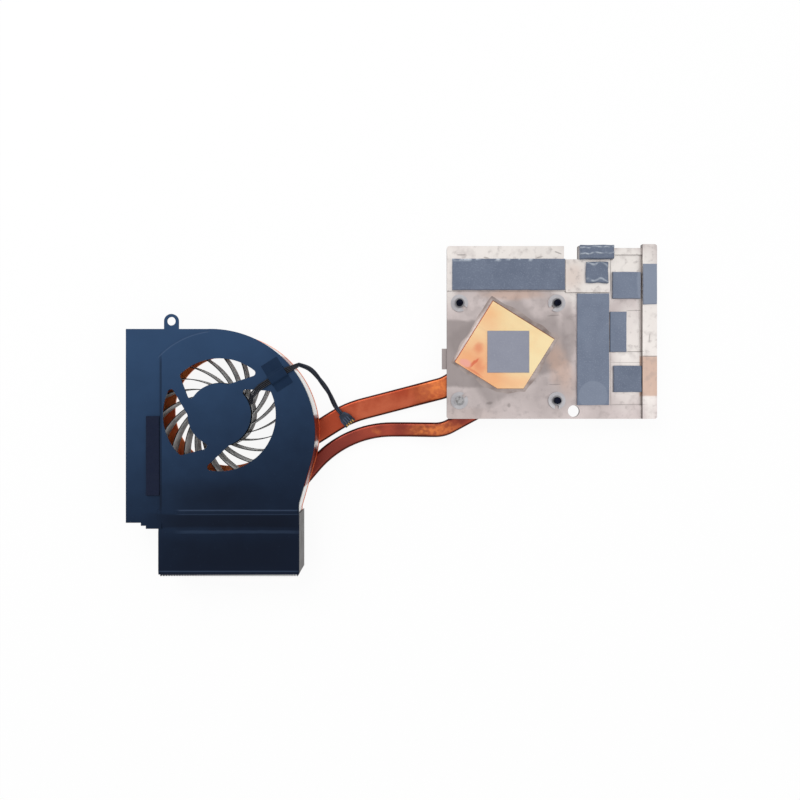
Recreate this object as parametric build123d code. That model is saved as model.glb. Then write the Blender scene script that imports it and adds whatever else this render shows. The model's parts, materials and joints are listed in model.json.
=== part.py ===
from build123d import *
import math
import os

# Laptop graphics cooling module: a blower with two fin stacks, two flattened heat pipes
# and a stepped mounting plate with a copper contact block and captive screws.
# The module lies with the contact side up. Millimetres, +Z up, origin at the middle of
# the footprint, on the surface that the pipes rest on.

# Overall reach along X and Y
OVERALL_LENGTH = 250.2
OVERALL_WIDTH = 156.6

# Heights of the blower, from the surface up
PIPE_THICKNESS = 3.0
BASE_SHEET = 0.8
FAN_DEPTH = 11.6
COVER_SHEET = 0.6
COVER_STEP = 0.4

# Blower plan, measured from the rotor axis
FAN_LEFT = 43.6
FAN_FRONT = 75.4
SCROLL_RADIUS = 48.5
SCROLL_OFFSET_X = -3.0
SCROLL_OFFSET_Y = -8.5
SCROLL_END_ANGLE = -16.0
COVER_SHIFT = 1.0
LEFT_STRIP_FRONT = 50.3
LEFT_STRIP_STEP = 27.6
CORNER_STEP_RADIUS = 39.0
CORNER_STEP_END = 5.0
BLOCK_LEFT = 28.6
BLOCK_RIGHT = 37.1
STAIR_DEPTH = 1.4
STAIR_INNER = 34.3
STAIR_OUTER = 36.6

# Folds of the cover over the front fin stack
BEAD_BACK = 44.3
BEAD_WIDTH = 2.0
BEAD_HEIGHT = 0.3
BEAD_LEFT = 19.0
SLOPE_LENGTH = 6.2
SLOPE_DROP = 0.8
RAMP_LENGTH = 2.5
RAMP_RISE = 0.2
LIP_LENGTH = 1.9
LIP_DROP = 0.2
FIN_TIP = 0.9

# Mounting ear
EAR_X = 22.4
EAR_REACH = 3.6
EAR_RADIUS = 3.4
EAR_HOLE_RADIUS = 2.0

# Inlet spider: openings between three swept spokes
INLET_RADIUS = 26.3
HUB_DISC_RADIUS = 14.7
OPENING_RIM_ANGLES = [(46.0, 135.0), (149.0, 226.0), (254.0, 385.0)]
OPENING_HUB_ANGLES = [(74.0, 158.0), (180.0, 264.0), (289.0, 416.0)]
OPENING_CORNER = 1.5
BASE_INLET_RADIUS = 26.6
BASE_INLET_PLACE = (1.5, 1.6)

# Walls of the blower
BASE_INSET = 0.4
WALL_INSET = 0.6
WALL_THICKNESS = 0.8
CUTOFF_RADIUS = 6.5
END_PLATE_LIFT = 0.3

# Fin stacks
FIN_PITCH = 1.25
FIN_THICKNESS = 0.3
FIN_FLANGE = 0.4
FIN_TAB = 0.7
STACK_INSET = 0.4
LEFT_STACK_DEPTH = 11.6

# Rotor
IMPELLER_RADIUS = 30.5
BLADE_COUNT = 20
BLADE_SWEEP_MID = 24.0
BLADE_SWEEP_TIP = 40.0
BLADE_THICKNESS = 0.55
BLADE_TOP_GAP = 1.4
BLADE_FLOOR_GAP = 1.8
HUB_RADIUS = 15.0
HUB_WALL = 1.0
HUB_FLOOR = 1.0
HUB_FLOOR_GAP = 1.1
HUB_TOP_GAP = 1.2
SHAFT_RADIUS = 1.0
SHAFT_TOP_GAP = 0.6
BOSS_RADIUS = 2.4
BOSS_HEIGHT = 0.7
YOKE_WALL = 0.75
MAGNET_WALL = 1.45
MAGNET_HEIGHT = 5.3
ROTOR_FIT = 0.05

# Motor parts fixed to the cover
BEARING_WALL = 1.5
TUBE_WALL = 1.0
TUBE_FLOOR_GAP = 0.4
SHAFT_RUNNING_GAP = 0.05
AIR_GAP = 0.5
STATOR_HEIGHT = 3.6
STATOR_LIFT = 1.4
STATOR_RING = 1.6
POLE_COUNT = 4
POLE_WIDTH = 2.6
POLE_SHOE = 1.2
POLE_ARC = 66.0
COIL_WALL = 1.3
COIL_OVERHANG = 0.9
BOARD_THICKNESS = 0.8
BOARD_MARGIN = 1.2
FIT = 0.05

# Foam strip on the cover
FOAM_LEFT = 34.0
FOAM_BACK = -0.5
FOAM_LENGTH = 37.1
FOAM_THICKNESS = 1.0

# Fan leads, their route from the rotor axis, and the tape over them
LEAD_RADIUS = 0.35
LEAD_PITCH = 0.74
LEAD_COUNT = 4
LEAD_SIDES = 6
LEAD_GATHER = 0.8
LEAD_BEND = 1.0
LEAD_BOARD = (9.8, 4.4)
LEAD_UNDER = (12.2, 5.4)
LEAD_RISE_START = (14.6, 6.4)
LEAD_RISE_END = (15.2, 9.0)
LEAD_RUN_START = (19.2, 13.0)
LEAD_RUN_END = (31.5, 20.8)
TAPE_PLACE = (27.3, 18.1)
TAPE_THICKNESS = 0.2
TAPE_LENGTH = 8.6
TAPE_FRONT = 6.1
TAPE_BACK = 7.9

# Free fan cable: diameter, hand-chosen route measured from the rotor axis, connector
CABLE_RADIUS = 1.15
CABLE_ROUTE = [
    (37.5, 23.2, 17.1),
    (41.0, 22.2, 16.6),
    (43.7, 20.1, 15.3),
    (45.7, 17.4, 13.5),
    (47.4, 14.9, 11.4),
    (49.1, 12.3, 9.4),
    (50.6, 9.4, 7.5),
    (51.8, 6.2, 5.6),
    (53.3, 2.9, 4.5),
    (55.8, 0.2, 4.5),
]
CABLE_ARC_SHARE = 0.48
CABLE_SIDES = 10
CONNECTOR_LENGTH = 6.6
CONNECTOR_TAPER = 3.0
CONNECTOR_FRONT_WIDTH = 5.7
CONNECTOR_BACK_WIDTH = 3.2
CONNECTOR_HEIGHT = 2.8
CONNECTOR_REST = 0.1
CAVITY_DEPTH = 1.4
CONTACT_WIDTH = 0.7
CONTACT_PITCH = 1.2
CONTACT_LENGTH = 1.2
CONTACT_THICKNESS = 0.25

# Heat pipes
UPPER_PIPE_WIDTH = 10.5
LOWER_PIPE_WIDTH = 7.1
PIPE_GAP = 0.4
UPPER_PIPE_Y = 37.0
UPPER_PIPE_REACH = 33.0
UPPER_PIPE_TURN_X = -1.5
UPPER_PIPE_EXIT = (58.9, 0.7)
UPPER_PIPE_ENTRY = (-29.6, -16.9)
UPPER_PIPE_BLOCK = (-1.7, 1.2)
UPPER_PIPE_END = 18.0
LOWER_PIPE_Y = 63.0
LOWER_PIPE_LEFT = 26.0
LOWER_PIPE_TURN_X = 9.9
LOWER_PIPE_EXIT = (57.3, -7.5)
LOWER_PIPE_ENTRY = (-30.7, -37.4)
LOWER_PIPE_BEND = (-8.0, -25.1)
LOWER_PIPE_ALONG = 6.0
LOWER_PIPE_END = 20.0
PIPE_RAMP_LENGTH = 11.5
PIPE_RAMP_GAP = 5.5
PIPE_CORNER_RADIUS = 13.0
PIPE_SWEEP_RADIUS = 50.0
PIPE_ENTRY_RADIUS = 18.0
PIPE_RAMP_RADIUS = 14.0
PIPE_ARC_SHARE = 0.97

# Mounting plate, measured from the centre of the screw pattern
PLATE_LIFT = 6.5
PLATE_FLOOR = 1.6
PLATE_LEFT = 29.2
PLATE_RIGHT = 70.9
PLATE_TOP = 51.3
PLATE_BOTTOM = 32.0
PLATE_CORNER = 1.2
STRIP_LEFT = 64.0
STRIP_HEIGHT = 1.0
COLUMN_LEFT = 48.5
COLUMN_DEPTH = 0.7
COLUMN_FRONT_DEPTH = 0.4
COLUMN_STEP_Y = -0.2
COLUMN_FRONT_Y = -25.6
COLUMN_BACK_Y = 46.5
COLUMN_EDGE_DROP = 1.6
SHELF_LEFT = 27.4
SHELF_FRONT_Y = 28.4
SHELF_HEIGHT = 0.8
TOP_STRIP_Y = 29.1
TOP_STRIP_HEIGHT = 0.5
LEFT_EDGE_DROP = 0.8
NOTCH_LEFT = 26.7
NOTCH_RIGHT = 33.5
NOTCH_DEPTH = 6.4
TAB_REACH = 2.3
TAB_TOP = 1.6
TAB_BOTTOM = -8.3
TAB_THICKNESS = 0.8
HOLE_X = 31.5
HOLE_Y = -28.3
HOLE_RADIUS = 2.8

# Copper contact block in a window of the plate
BLOCK_SIDE = 34.8
BLOCK_TURN = -32.0
BLOCK_CENTRE = (-1.7, 0.7)
BLOCK_CUT_Y = -17.6
BLOCK_PROUD = 0.9

# Thermal pads: left, bottom, width, length, thickness
GPU_PAD = (-10.0, -10.0, 20.0, 20.0, 0.5)
MEMORY_PAD_TOP = (-26.8, 29.4, 53.9, 15.0, 1.0)
MEMORY_PAD_RIGHT = (32.9, -25.5, 15.3, 53.4, 1.2)
PAD_EDGE = (33.7, 43.9, 16.4, 6.9, 2.4)
PAD_SMALL_UPPER = (36.6, 32.4, 11.2, 10.6, 1.6)
PAD_VRM_UPPER = (50.0, 25.4, 13.5, 12.9, 1.2)
PAD_VRM_MIDDLE = (48.7, -0.1, 8.0, 19.4, 1.2)
PAD_VRM_LOWER = (50.4, -19.3, 13.4, 12.8, 1.2)
PAD_STRIP_RIGHT = (64.1, 22.5, 6.6, 19.4, 0.8)

# Captive screws on a square pattern
SCREW_PITCH = 46.5
SCREW_TRAVEL = 2.0
SCREW_TIP_RADIUS = 1.5
SCREW_TIP_LENGTH = 1.7
SHOULDER_RADIUS = 2.4
SHOULDER_RISE = 0.5
SHANK_RADIUS = 1.9
SHANK_CLEARANCE = 0.4
HEAD_RADIUS = 3.0
HEAD_HEIGHT = 1.6
RECESS_WIDTH = 0.8
RECESS_LENGTH = 3.2
RECESS_DEPTH = 0.8
CLIP_RADIUS = 4.1
CLIP_THICKNESS = 0.6
CLIP_GAP = 0.05
GROOVE_DEPTH = 0.2
CLIP_SLOT = 1.8
CLIP_SLOT_ANGLES = [-45.0, -135.0, 45.0, -90.0]
SPRING_WIRE = 0.45
SPRING_TURNS = 2.5
SPRING_RADIUS = 2.55
SPRING_SPARE = 0.5
SPRING_CHORDS = 12

# Levels worked out from the sizes above
BASE_Z = PIPE_THICKNESS
CHAMBER_Z = BASE_Z + BASE_SHEET
COVER_Z = CHAMBER_Z + FAN_DEPTH
COVER_TOP = COVER_Z + COVER_SHEET
STRIP_Z = COVER_Z - COVER_STEP
PLATE_TOP_Z = PLATE_LIFT + PLATE_FLOOR
BLOCK_TOP_Z = PLATE_TOP_Z + BLOCK_PROUD
FAN_AXIS = (FAN_LEFT - OVERALL_LENGTH / 2, FAN_FRONT - OVERALL_WIDTH / 2)
PATTERN_CENTRE = (OVERALL_LENGTH / 2 - PLATE_RIGHT, OVERALL_WIDTH / 2 - PLATE_TOP)
SCROLL_TOP = SCROLL_OFFSET_Y + SCROLL_RADIUS
SPRING_SOLID = (SPRING_TURNS + 1) * SPRING_WIRE
HEAD_TOP_Z = PLATE_LIFT - SPRING_SOLID - SCREW_TRAVEL - SPRING_SPARE
HEAD_Z = HEAD_TOP_Z - HEAD_HEIGHT


def at_fan(x, y, z=0.0):
    """A point measured from the rotor axis."""
    return Vector(FAN_AXIS[0] + x, FAN_AXIS[1] + y, z)


def at_plate(x, y, z=0.0):
    """A point measured from the centre of the screw pattern."""
    return Vector(PATTERN_CENTRE[0] + x, PATTERN_CENTRE[1] + y, z)


def polar(radius, angle):
    """A plan point from a radius and an angle in degrees."""
    return (radius * math.cos(math.radians(angle)), radius * math.sin(math.radians(angle)))


def rectangle(left, bottom, right, top):
    """A plan rectangle from its limits."""
    return Pos((left + right) / 2, (bottom + top) / 2) * Rectangle(right - left, top - bottom)


def slab(sketch, origin, bottom, top):
    """A sketch drawn about an origin, made solid between two heights."""
    return Pos(origin[0], origin[1], bottom) * extrude(sketch, top - bottom)


def ring(outer, inner, bottom, top):
    """A tube on the rotor axis between two heights."""
    return slab(Circle(outer) - Circle(inner), FAN_AXIS, bottom, top)


# Blower casing


def scroll_line(inset, shift=0):
    """End of the scroll arc, and the point where its tangent meets the block's right side."""
    radius = SCROLL_RADIUS - inset
    x, y = polar(radius, SCROLL_END_ANGLE)
    end = (SCROLL_OFFSET_X - shift + x, SCROLL_OFFSET_Y + y)
    right = BLOCK_RIGHT - inset
    slope = math.tan(math.radians(-SCROLL_END_ANGLE))
    return end, (right, end[1] - (end[0] - right) / slope)


def casing_outline(inset, front, shift=0):
    """Plan of the casing: left strip, scroll struck from a centre shifted left, and front block."""
    radius = SCROLL_RADIUS - inset
    top = SCROLL_TOP - inset
    middle = SCROLL_OFFSET_X - shift
    half = rectangle(middle, SCROLL_OFFSET_Y - radius, middle + radius, top)
    scroll = (Pos(middle, SCROLL_OFFSET_Y) * Circle(radius)) & half
    strip = rectangle(-FAN_LEFT + inset, -LEFT_STRIP_FRONT + inset, middle, top)
    end, meet = scroll_line(inset, shift)
    block = make_face(
        Polyline(
            (middle, SCROLL_OFFSET_Y),
            end,
            meet,
            (BLOCK_RIGHT - inset, -front),
            (-BLOCK_LEFT + inset, -front),
            (-BLOCK_LEFT + inset, SCROLL_OFFSET_Y),
            close=True,
        )
    )
    return scroll + strip + block


def inlet_opening(rim_angles, hub_angles):
    """One opening of the spider, bounded by the rim, the hub disc and two swept spokes."""
    rim = CenterArc((0, 0), INLET_RADIUS, rim_angles[0], rim_angles[1] - rim_angles[0])
    hub = CenterArc((0, 0), HUB_DISC_RADIUS, hub_angles[0], hub_angles[1] - hub_angles[0])
    sides = [Line(rim @ 0, hub @ 0), Line(rim @ 1, hub @ 1)]
    face = make_face([rim, hub, *sides])
    return fillet(face.vertices(), OPENING_CORNER)


def fold_solid(under, over):
    """Solid over the front block, between two heights measured from the folded cover's top."""
    crease = BEAD_BACK + BEAD_WIDTH
    valley = crease + SLOPE_LENGTH
    flat = valley + RAMP_LENGTH
    fold = FAN_FRONT - FIN_TIP - LIP_LENGTH
    level = COVER_TOP - SLOPE_DROP + RAMP_RISE
    top = [
        (-BEAD_BACK, COVER_TOP),
        (-crease, COVER_TOP),
        (-valley, COVER_TOP - SLOPE_DROP),
        (-flat, level),
        (-fold, level),
        (-fold - LIP_LENGTH, level - LIP_DROP),
    ]
    upper = [(y, z + over) for y, z in top]
    lower = [(y, z + under) for y, z in reversed(top)]
    profile = make_face(Polyline(*upper, *lower, close=True))
    plane = Plane(origin=at_fan(-BLOCK_LEFT, 0), x_dir=(0, 1, 0), z_dir=(1, 0, 0))
    return extrude(plane * profile, BLOCK_LEFT + BLOCK_RIGHT)


def cover_block():
    """Folded cover over the front fin stack: flat, slope, ramp, flat and lip."""
    return fold_solid(-COVER_SHEET, 0)


def above_block():
    """Space from the folded cover's underside up."""
    return fold_solid(-COVER_SHEET, FAN_DEPTH)


def cover_strip():
    """Lower level of the cover: left strip, back corner, stair and mounting ear."""
    inner = -LEFT_STRIP_STEP + COVER_SHEET
    strip = rectangle(-FAN_LEFT, -LEFT_STRIP_FRONT, inner, SCROLL_TOP)
    stair_y = -LEFT_STRIP_FRONT - STAIR_DEPTH
    strip += rectangle(-STAIR_OUTER, stair_y, inner, -LEFT_STRIP_FRONT)
    strip += rectangle(-STAIR_INNER, stair_y - STAIR_DEPTH, inner, stair_y)
    corner = rectangle(-LEFT_STRIP_STEP, 0, -CORNER_STEP_END + COVER_SHEET, SCROLL_TOP)
    strip += corner - Circle(CORNER_STEP_RADIUS - COVER_SHEET)
    ear_y = SCROLL_TOP + EAR_REACH
    strip += rectangle(-EAR_X - EAR_RADIUS, SCROLL_TOP - EAR_RADIUS, -EAR_X + EAR_RADIUS, ear_y)
    strip += Pos(-EAR_X, ear_y) * Circle(EAR_RADIUS)
    strip -= Pos(-EAR_X, ear_y) * Circle(EAR_HOLE_RADIUS)
    return slab(strip, FAN_AXIS, STRIP_Z, STRIP_Z + COVER_SHEET)


def cover_raised():
    """Upper level of the cover with the inlet spider."""
    front = BEAD_BACK + BEAD_WIDTH
    outline = casing_outline(0, front, COVER_SHIFT)
    outline &= rectangle(-LEFT_STRIP_STEP, -front, SCROLL_RADIUS, SCROLL_TOP)
    corner = rectangle(-LEFT_STRIP_STEP, 0, -CORNER_STEP_END, SCROLL_TOP)
    raised = outline - (corner - Circle(CORNER_STEP_RADIUS))
    for rim_angles, hub_angles in zip(OPENING_RIM_ANGLES, OPENING_HUB_ANGLES):
        raised -= inlet_opening(rim_angles, hub_angles)
    return slab(raised, FAN_AXIS, COVER_Z, COVER_TOP)


def cover_bead():
    """Stiffening bead along the back of the front block."""
    profile = Pos(0, COVER_TOP) * Ellipse(BEAD_WIDTH / 2, BEAD_HEIGHT)
    start = at_fan(-BEAD_LEFT, -BEAD_BACK - BEAD_WIDTH / 2)
    plane = Plane(origin=start, x_dir=(0, 1, 0), z_dir=(1, 0, 0))
    return extrude(plane * profile, BEAD_LEFT + BLOCK_RIGHT - WALL_INSET)


def motor_plate():
    """Sheet cover that carries the motor on its hub disc."""
    return cover_raised() + cover_strip() + cover_block() + cover_bead()


def base_sheet():
    """Copper downside sheet with the second inlet."""
    outline = casing_outline(BASE_INSET, FAN_FRONT - FIN_TIP - BASE_INSET)
    inlet = Pos(*BASE_INLET_PLACE) * Circle(BASE_INLET_RADIUS)
    return slab(outline - inlet, FAN_AXIS, BASE_Z, CHAMBER_Z)


def left_stack_face():
    """Distance from the rotor axis to the inner face of the left fin stack."""
    return FAN_LEFT - STACK_INSET - LEFT_STACK_DEPTH


def front_stack_back():
    """Distance from the rotor axis to the inner face of the front fin stack."""
    return BEAD_BACK + BEAD_WIDTH + SLOPE_LENGTH


def scroll_chain(inset):
    """Volute curve at a distance inside the casing's edge, from the left stack to the front stack."""
    offset = math.hypot(SCROLL_OFFSET_X, SCROLL_OFFSET_Y)
    outer = SCROLL_RADIUS - inset
    inner = outer - offset
    join = math.degrees(math.atan2(-SCROLL_OFFSET_Y, -SCROLL_OFFSET_X))
    start = math.degrees(math.acos(-left_stack_face() / inner))
    tongue = CenterArc((0, 0), inner, start, join - start)
    centre = (SCROLL_OFFSET_X, SCROLL_OFFSET_Y)
    scroll = CenterArc(centre, outer, join, SCROLL_END_ANGLE - join)
    end, meet = scroll_line(inset)
    tangent = Line(end, meet)
    side = Line(meet, (BLOCK_RIGHT - inset, -front_stack_back()))
    return [tongue, scroll, tangent, side]


def scroll_wall():
    """Bright sheet wall of the volute."""
    outside = scroll_chain(WALL_INSET)
    inside = scroll_chain(WALL_INSET + WALL_THICKNESS)
    caps = [Line(outside[0] @ 0, inside[0] @ 0), Line(outside[-1] @ 1, inside[-1] @ 1)]
    face = make_face([*outside, *inside, *caps])
    return slab(face, FAN_AXIS, CHAMBER_Z, COVER_Z) - cover_strip() - above_block()


def cutoff_wall():
    """Rounded wall that closes the corner between the two fin stacks."""
    quarter = rectangle(0, 0, CUTOFF_RADIUS, CUTOFF_RADIUS)
    arc = (Circle(CUTOFF_RADIUS) - Circle(CUTOFF_RADIUS - WALL_THICKNESS)) & quarter
    corner = Pos(-left_stack_face(), -front_stack_back()) * arc
    return slab(corner, FAN_AXIS, CHAMBER_Z, COVER_Z) - cover_strip() - above_block()


def end_plate():
    """Plate that closes the front block's right end, from the cover down beside the pipes."""
    back = -BEAD_BACK - BEAD_WIDTH
    front = -FAN_FRONT + FIN_TIP + BASE_INSET
    plan = rectangle(BLOCK_RIGHT - STACK_INSET, front, BLOCK_RIGHT, back)
    return slab(plan, FAN_AXIS, END_PLATE_LIFT, COVER_Z - SLOPE_DROP)


def fin_stack(length, depth, height, tip):
    """Zipper fins side by side along X, open along Y, with tips and flange tabs at -Y."""
    count = int((length - FIN_THICKNESS) / FIN_PITCH)
    span = count * FIN_PITCH + FIN_THICKNESS
    inside = height - 2 * FIN_FLANGE
    gap = Rectangle(FIN_PITCH - FIN_THICKNESS, inside)
    fin = Rectangle(FIN_THICKNESS, inside)
    gaps = Sketch() + GridLocations(FIN_PITCH, 1, count, 1) * gap
    fins = Sketch() + GridLocations(FIN_PITCH, 1, count + 1, 1) * fin
    body = Pos(0, height / 2) * (Rectangle(span, height) - gaps)
    tab = Rectangle(FIN_TAB, FIN_FLANGE)
    tabs = Sketch() + GridLocations(FIN_PITCH, 1, count + 1, 1) * tab
    row = Pos(0, height / 2) * fins + Pos(0, height - FIN_FLANGE / 2) * tabs
    stack = extrude(Plane.XZ.offset(-depth) * body, depth)
    return stack + extrude(Plane.XZ * row, tip)


def left_fin_stack():
    """Fin stack under the left strip of the cover."""
    length = SCROLL_TOP + LEFT_STRIP_FRONT - 2 * STACK_INSET
    middle = (SCROLL_TOP - LEFT_STRIP_FRONT) / 2
    stack = fin_stack(length, LEFT_STACK_DEPTH - FIN_TIP, STRIP_Z - CHAMBER_Z, FIN_TIP)
    place = at_fan(-FAN_LEFT + STACK_INSET + FIN_TIP, middle, CHAMBER_Z)
    return Pos(place) * Rot(0, 0, -90) * stack


def front_fin_stack():
    """Fin stack under the folded block of the cover, with tips that show past its lip."""
    length = BLOCK_LEFT + BLOCK_RIGHT - 2 * STACK_INSET
    middle = (BLOCK_RIGHT - BLOCK_LEFT) / 2
    depth = FAN_FRONT - FIN_TIP - front_stack_back()
    height = COVER_Z - SLOPE_DROP - CHAMBER_Z
    stack = fin_stack(length, depth, height, FIN_TIP)
    return Pos(at_fan(middle, -FAN_FRONT + FIN_TIP, CHAMBER_Z)) * stack


# Rotor


def blade():
    """One swept blade, drawn in plan as a band between two arcs."""
    root = HUB_RADIUS - HUB_WALL / 2
    middle = (root + IMPELLER_RADIUS) / 2
    half = math.degrees(BLADE_THICKNESS / 2 / middle)
    edges = []
    for side in (-half, half):
        start = polar(root, side * middle / root)
        centre = polar(middle, BLADE_SWEEP_MID + side)
        tip = polar(IMPELLER_RADIUS, BLADE_SWEEP_TIP + side * middle / IMPELLER_RADIUS)
        edges.append(ThreePointArc(start, centre, tip))
    ends = [Line(edges[0] @ 0, edges[1] @ 0), Line(edges[0] @ 1, edges[1] @ 1)]
    return make_face([*edges, *ends])


def impeller():
    """Moulded hub cup with swept blades."""
    floor = CHAMBER_Z + HUB_FLOOR_GAP
    top = COVER_Z - HUB_TOP_GAP
    cup = ring(HUB_RADIUS, HUB_RADIUS - HUB_WALL, floor, top)
    cup += ring(HUB_RADIUS, SHAFT_RADIUS, floor, floor + HUB_FLOOR)
    cup += ring(BOSS_RADIUS, SHAFT_RADIUS, floor + HUB_FLOOR, floor + HUB_FLOOR + BOSS_HEIGHT)
    profile = blade()
    blades = Sketch() + [Rot(0, 0, 360 * i / BLADE_COUNT) * profile for i in range(BLADE_COUNT)]
    return cup + slab(blades, FAN_AXIS, CHAMBER_Z + BLADE_FLOOR_GAP, COVER_Z - BLADE_TOP_GAP)


def rotor_parts():
    """Steel yoke, ring magnet and shaft that turn with the impeller."""
    floor = CHAMBER_Z + HUB_FLOOR_GAP
    inside = floor + HUB_FLOOR
    top = COVER_Z - HUB_TOP_GAP
    yoke_outer = HUB_RADIUS - HUB_WALL - ROTOR_FIT
    magnet_outer = yoke_outer - YOKE_WALL - ROTOR_FIT
    middle = stator_bottom() + STATOR_HEIGHT / 2
    return {
        "rotor_yoke": ring(yoke_outer, yoke_outer - YOKE_WALL, inside, top),
        "rotor_magnet": ring(
            magnet_outer, magnet_outer - MAGNET_WALL, middle - MAGNET_HEIGHT / 2, middle + MAGNET_HEIGHT / 2
        ),
        "rotor_shaft": slab(Circle(SHAFT_RADIUS), FAN_AXIS, floor, COVER_Z - SHAFT_TOP_GAP),
    }


# Motor parts fixed to the cover


def tube_bottom():
    """Lower end of the bearing tube, above the hub's boss."""
    return CHAMBER_Z + HUB_FLOOR_GAP + HUB_FLOOR + BOSS_HEIGHT + TUBE_FLOOR_GAP


def stator_bottom():
    """Lower face of the stator core."""
    return tube_bottom() + STATOR_LIFT


def board_top():
    """Upper face of the motor board, which lies on the windings."""
    return stator_bottom() + STATOR_HEIGHT + COIL_OVERHANG + BOARD_THICKNESS


def motor_parts():
    """Bearing tube, sleeve bearing, stator core, windings and board."""
    bearing_inner = SHAFT_RADIUS + SHAFT_RUNNING_GAP
    bearing_outer = bearing_inner + BEARING_WALL
    tube_inner = bearing_outer + FIT
    tube_outer = tube_inner + TUBE_WALL
    magnet_inner = HUB_RADIUS - HUB_WALL - YOKE_WALL - MAGNET_WALL - 2 * ROTOR_FIT
    stator_outer = magnet_inner - AIR_GAP
    core_inner = tube_outer + FIT
    shoe_inner = stator_outer - POLE_SHOE
    core = Circle(core_inner + STATOR_RING)
    coils = Sketch()
    coil_inner = core_inner + STATOR_RING + FIT
    coil_width = POLE_WIDTH + 2 * COIL_WALL
    coil_length = math.sqrt((shoe_inner - FIT) ** 2 - (coil_width / 2) ** 2) - coil_inner
    band = Circle(stator_outer) - Circle(shoe_inner)
    for i in range(POLE_COUNT):
        turn = 360.0 * i / POLE_COUNT
        reach = polar(stator_outer * 2, POLE_ARC / 2)
        wedge = make_face(Polyline((0, 0), reach, (reach[0], -reach[1]), close=True))
        arm = rectangle(0, -POLE_WIDTH / 2, stator_outer - POLE_SHOE / 2, POLE_WIDTH / 2)
        core += Rot(0, 0, turn) * arm
        core += Rot(0, 0, turn) * (band & wedge)
        coils += Rot(0, 0, turn) * Pos(coil_inner + coil_length / 2, 0) * Rectangle(coil_length, coil_width)
    core -= Circle(core_inner)
    low = stator_bottom()
    high = low + STATOR_HEIGHT
    slots = Sketch()
    for i in range(POLE_COUNT):
        place = Rot(0, 0, 360.0 * i / POLE_COUNT) * Pos(coil_inner + coil_length / 2, 0)
        slots += place * Rectangle(coil_length + 2 * FIT, POLE_WIDTH + 2 * FIT)
    windings = slab(coils, FAN_AXIS, low - COIL_OVERHANG, high + COIL_OVERHANG)
    windings -= slab(slots, FAN_AXIS, low - FIT, high + FIT)
    return {
        "bearing_tube": ring(tube_outer, tube_inner, tube_bottom(), COVER_Z),
        "sleeve_bearing": ring(bearing_outer, bearing_inner, tube_bottom(), COVER_Z - SHAFT_TOP_GAP),
        "stator_core": slab(core, FAN_AXIS, low, high),
        "stator_windings": windings,
        "motor_board": ring(
            stator_outer + BOARD_MARGIN, core_inner, board_top() - BOARD_THICKNESS, board_top()
        ),
    }


# Trim on the cover and the fan's wiring


def foam_strip():
    """Foam seal on the lower strip of the cover."""
    plan = rectangle(-FOAM_LEFT, FOAM_BACK - FOAM_LENGTH, -LEFT_STRIP_STEP - FIT, FOAM_BACK)
    low = STRIP_Z + COVER_SHEET
    return slab(plan, FAN_AXIS, low, low + FOAM_THICKNESS)


def lead_direction():
    """Direction of the leads' straight run under the tape."""
    start = at_fan(*LEAD_RUN_START)
    return (at_fan(*LEAD_RUN_END) - start).normalized()


def cable_points():
    """Route of the free cable in the frame."""
    return [at_fan(*point) for point in CABLE_ROUTE]


def cable_start_direction():
    """Direction in plan in which the free cable leaves the cover's edge."""
    start, after = cable_points()[:2]
    run = after - start
    return Vector(run.X, run.Y, 0).normalized()


def lead_route(shift):
    """Route of one lead: off the motor board, up through an opening and along a spoke."""
    board = board_top() + LEAD_RADIUS + FIT
    under = COVER_Z - LEAD_RADIUS - FIT
    over = COVER_TOP + LEAD_RADIUS + FIT
    run = lead_direction()
    side = Vector(run.Y, -run.X) * shift
    points = [
        at_fan(*LEAD_BOARD, board),
        at_fan(*LEAD_UNDER, under),
        at_fan(*LEAD_RISE_START, under),
        at_fan(*LEAD_RISE_END, over),
        at_fan(*LEAD_RUN_START, over),
        at_fan(*LEAD_RUN_END, over),
    ]
    cable = cable_start_direction()
    start = cable_points()[0]
    end = Vector(start.X - LEAD_RADIUS, start.Y, over)
    gathered = Vector(cable.Y, -cable.X) * shift * LEAD_GATHER
    return [point + side for point in points] + [end + gathered]


def fan_leads():
    """Flat row of thin leads."""
    leads = []
    for i in range(LEAD_COUNT):
        shift = (i - (LEAD_COUNT - 1) / 2) * LEAD_PITCH
        path = FilletPolyline(*lead_route(shift), radius=LEAD_BEND)
        section = Plane(origin=path @ 0, z_dir=path % 0) * RegularPolygon(LEAD_RADIUS, LEAD_SIDES)
        leads.append(sweep(section, path))
    return Compound(children=leads)


def lead_tape():
    """Tape that bridges the leads and sticks to the cover on both sides."""
    rise = 2 * LEAD_RADIUS + 2 * FIT
    half = LEAD_COUNT * LEAD_PITCH / 2 + FIT
    under = [
        (-TAPE_FRONT, 0),
        (-half - rise, 0),
        (-half, rise),
        (half, rise),
        (half + rise, 0),
        (TAPE_BACK, 0),
    ]
    over = [(x, z + TAPE_THICKNESS) for x, z in reversed(under)]
    profile = make_face(Polyline(*under, *over, close=True))
    run = lead_direction()
    plane = Plane(origin=at_fan(*TAPE_PLACE, COVER_TOP), x_dir=(-run.Y, run.X, 0), z_dir=run)
    return extrude(plane * profile, TAPE_LENGTH / 2, both=True)


def corner_radii(points, share):
    """Largest arc that each corner's two runs allow."""
    radii = []
    for before, corner, after in zip(points, points[1:], points[2:]):
        run_in = corner - before
        run_out = after - corner
        turn = math.radians(run_in.get_angle(run_out))
        radii.append(share * min(run_in.length, run_out.length) / math.tan(turn / 2))
    return radii


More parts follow.
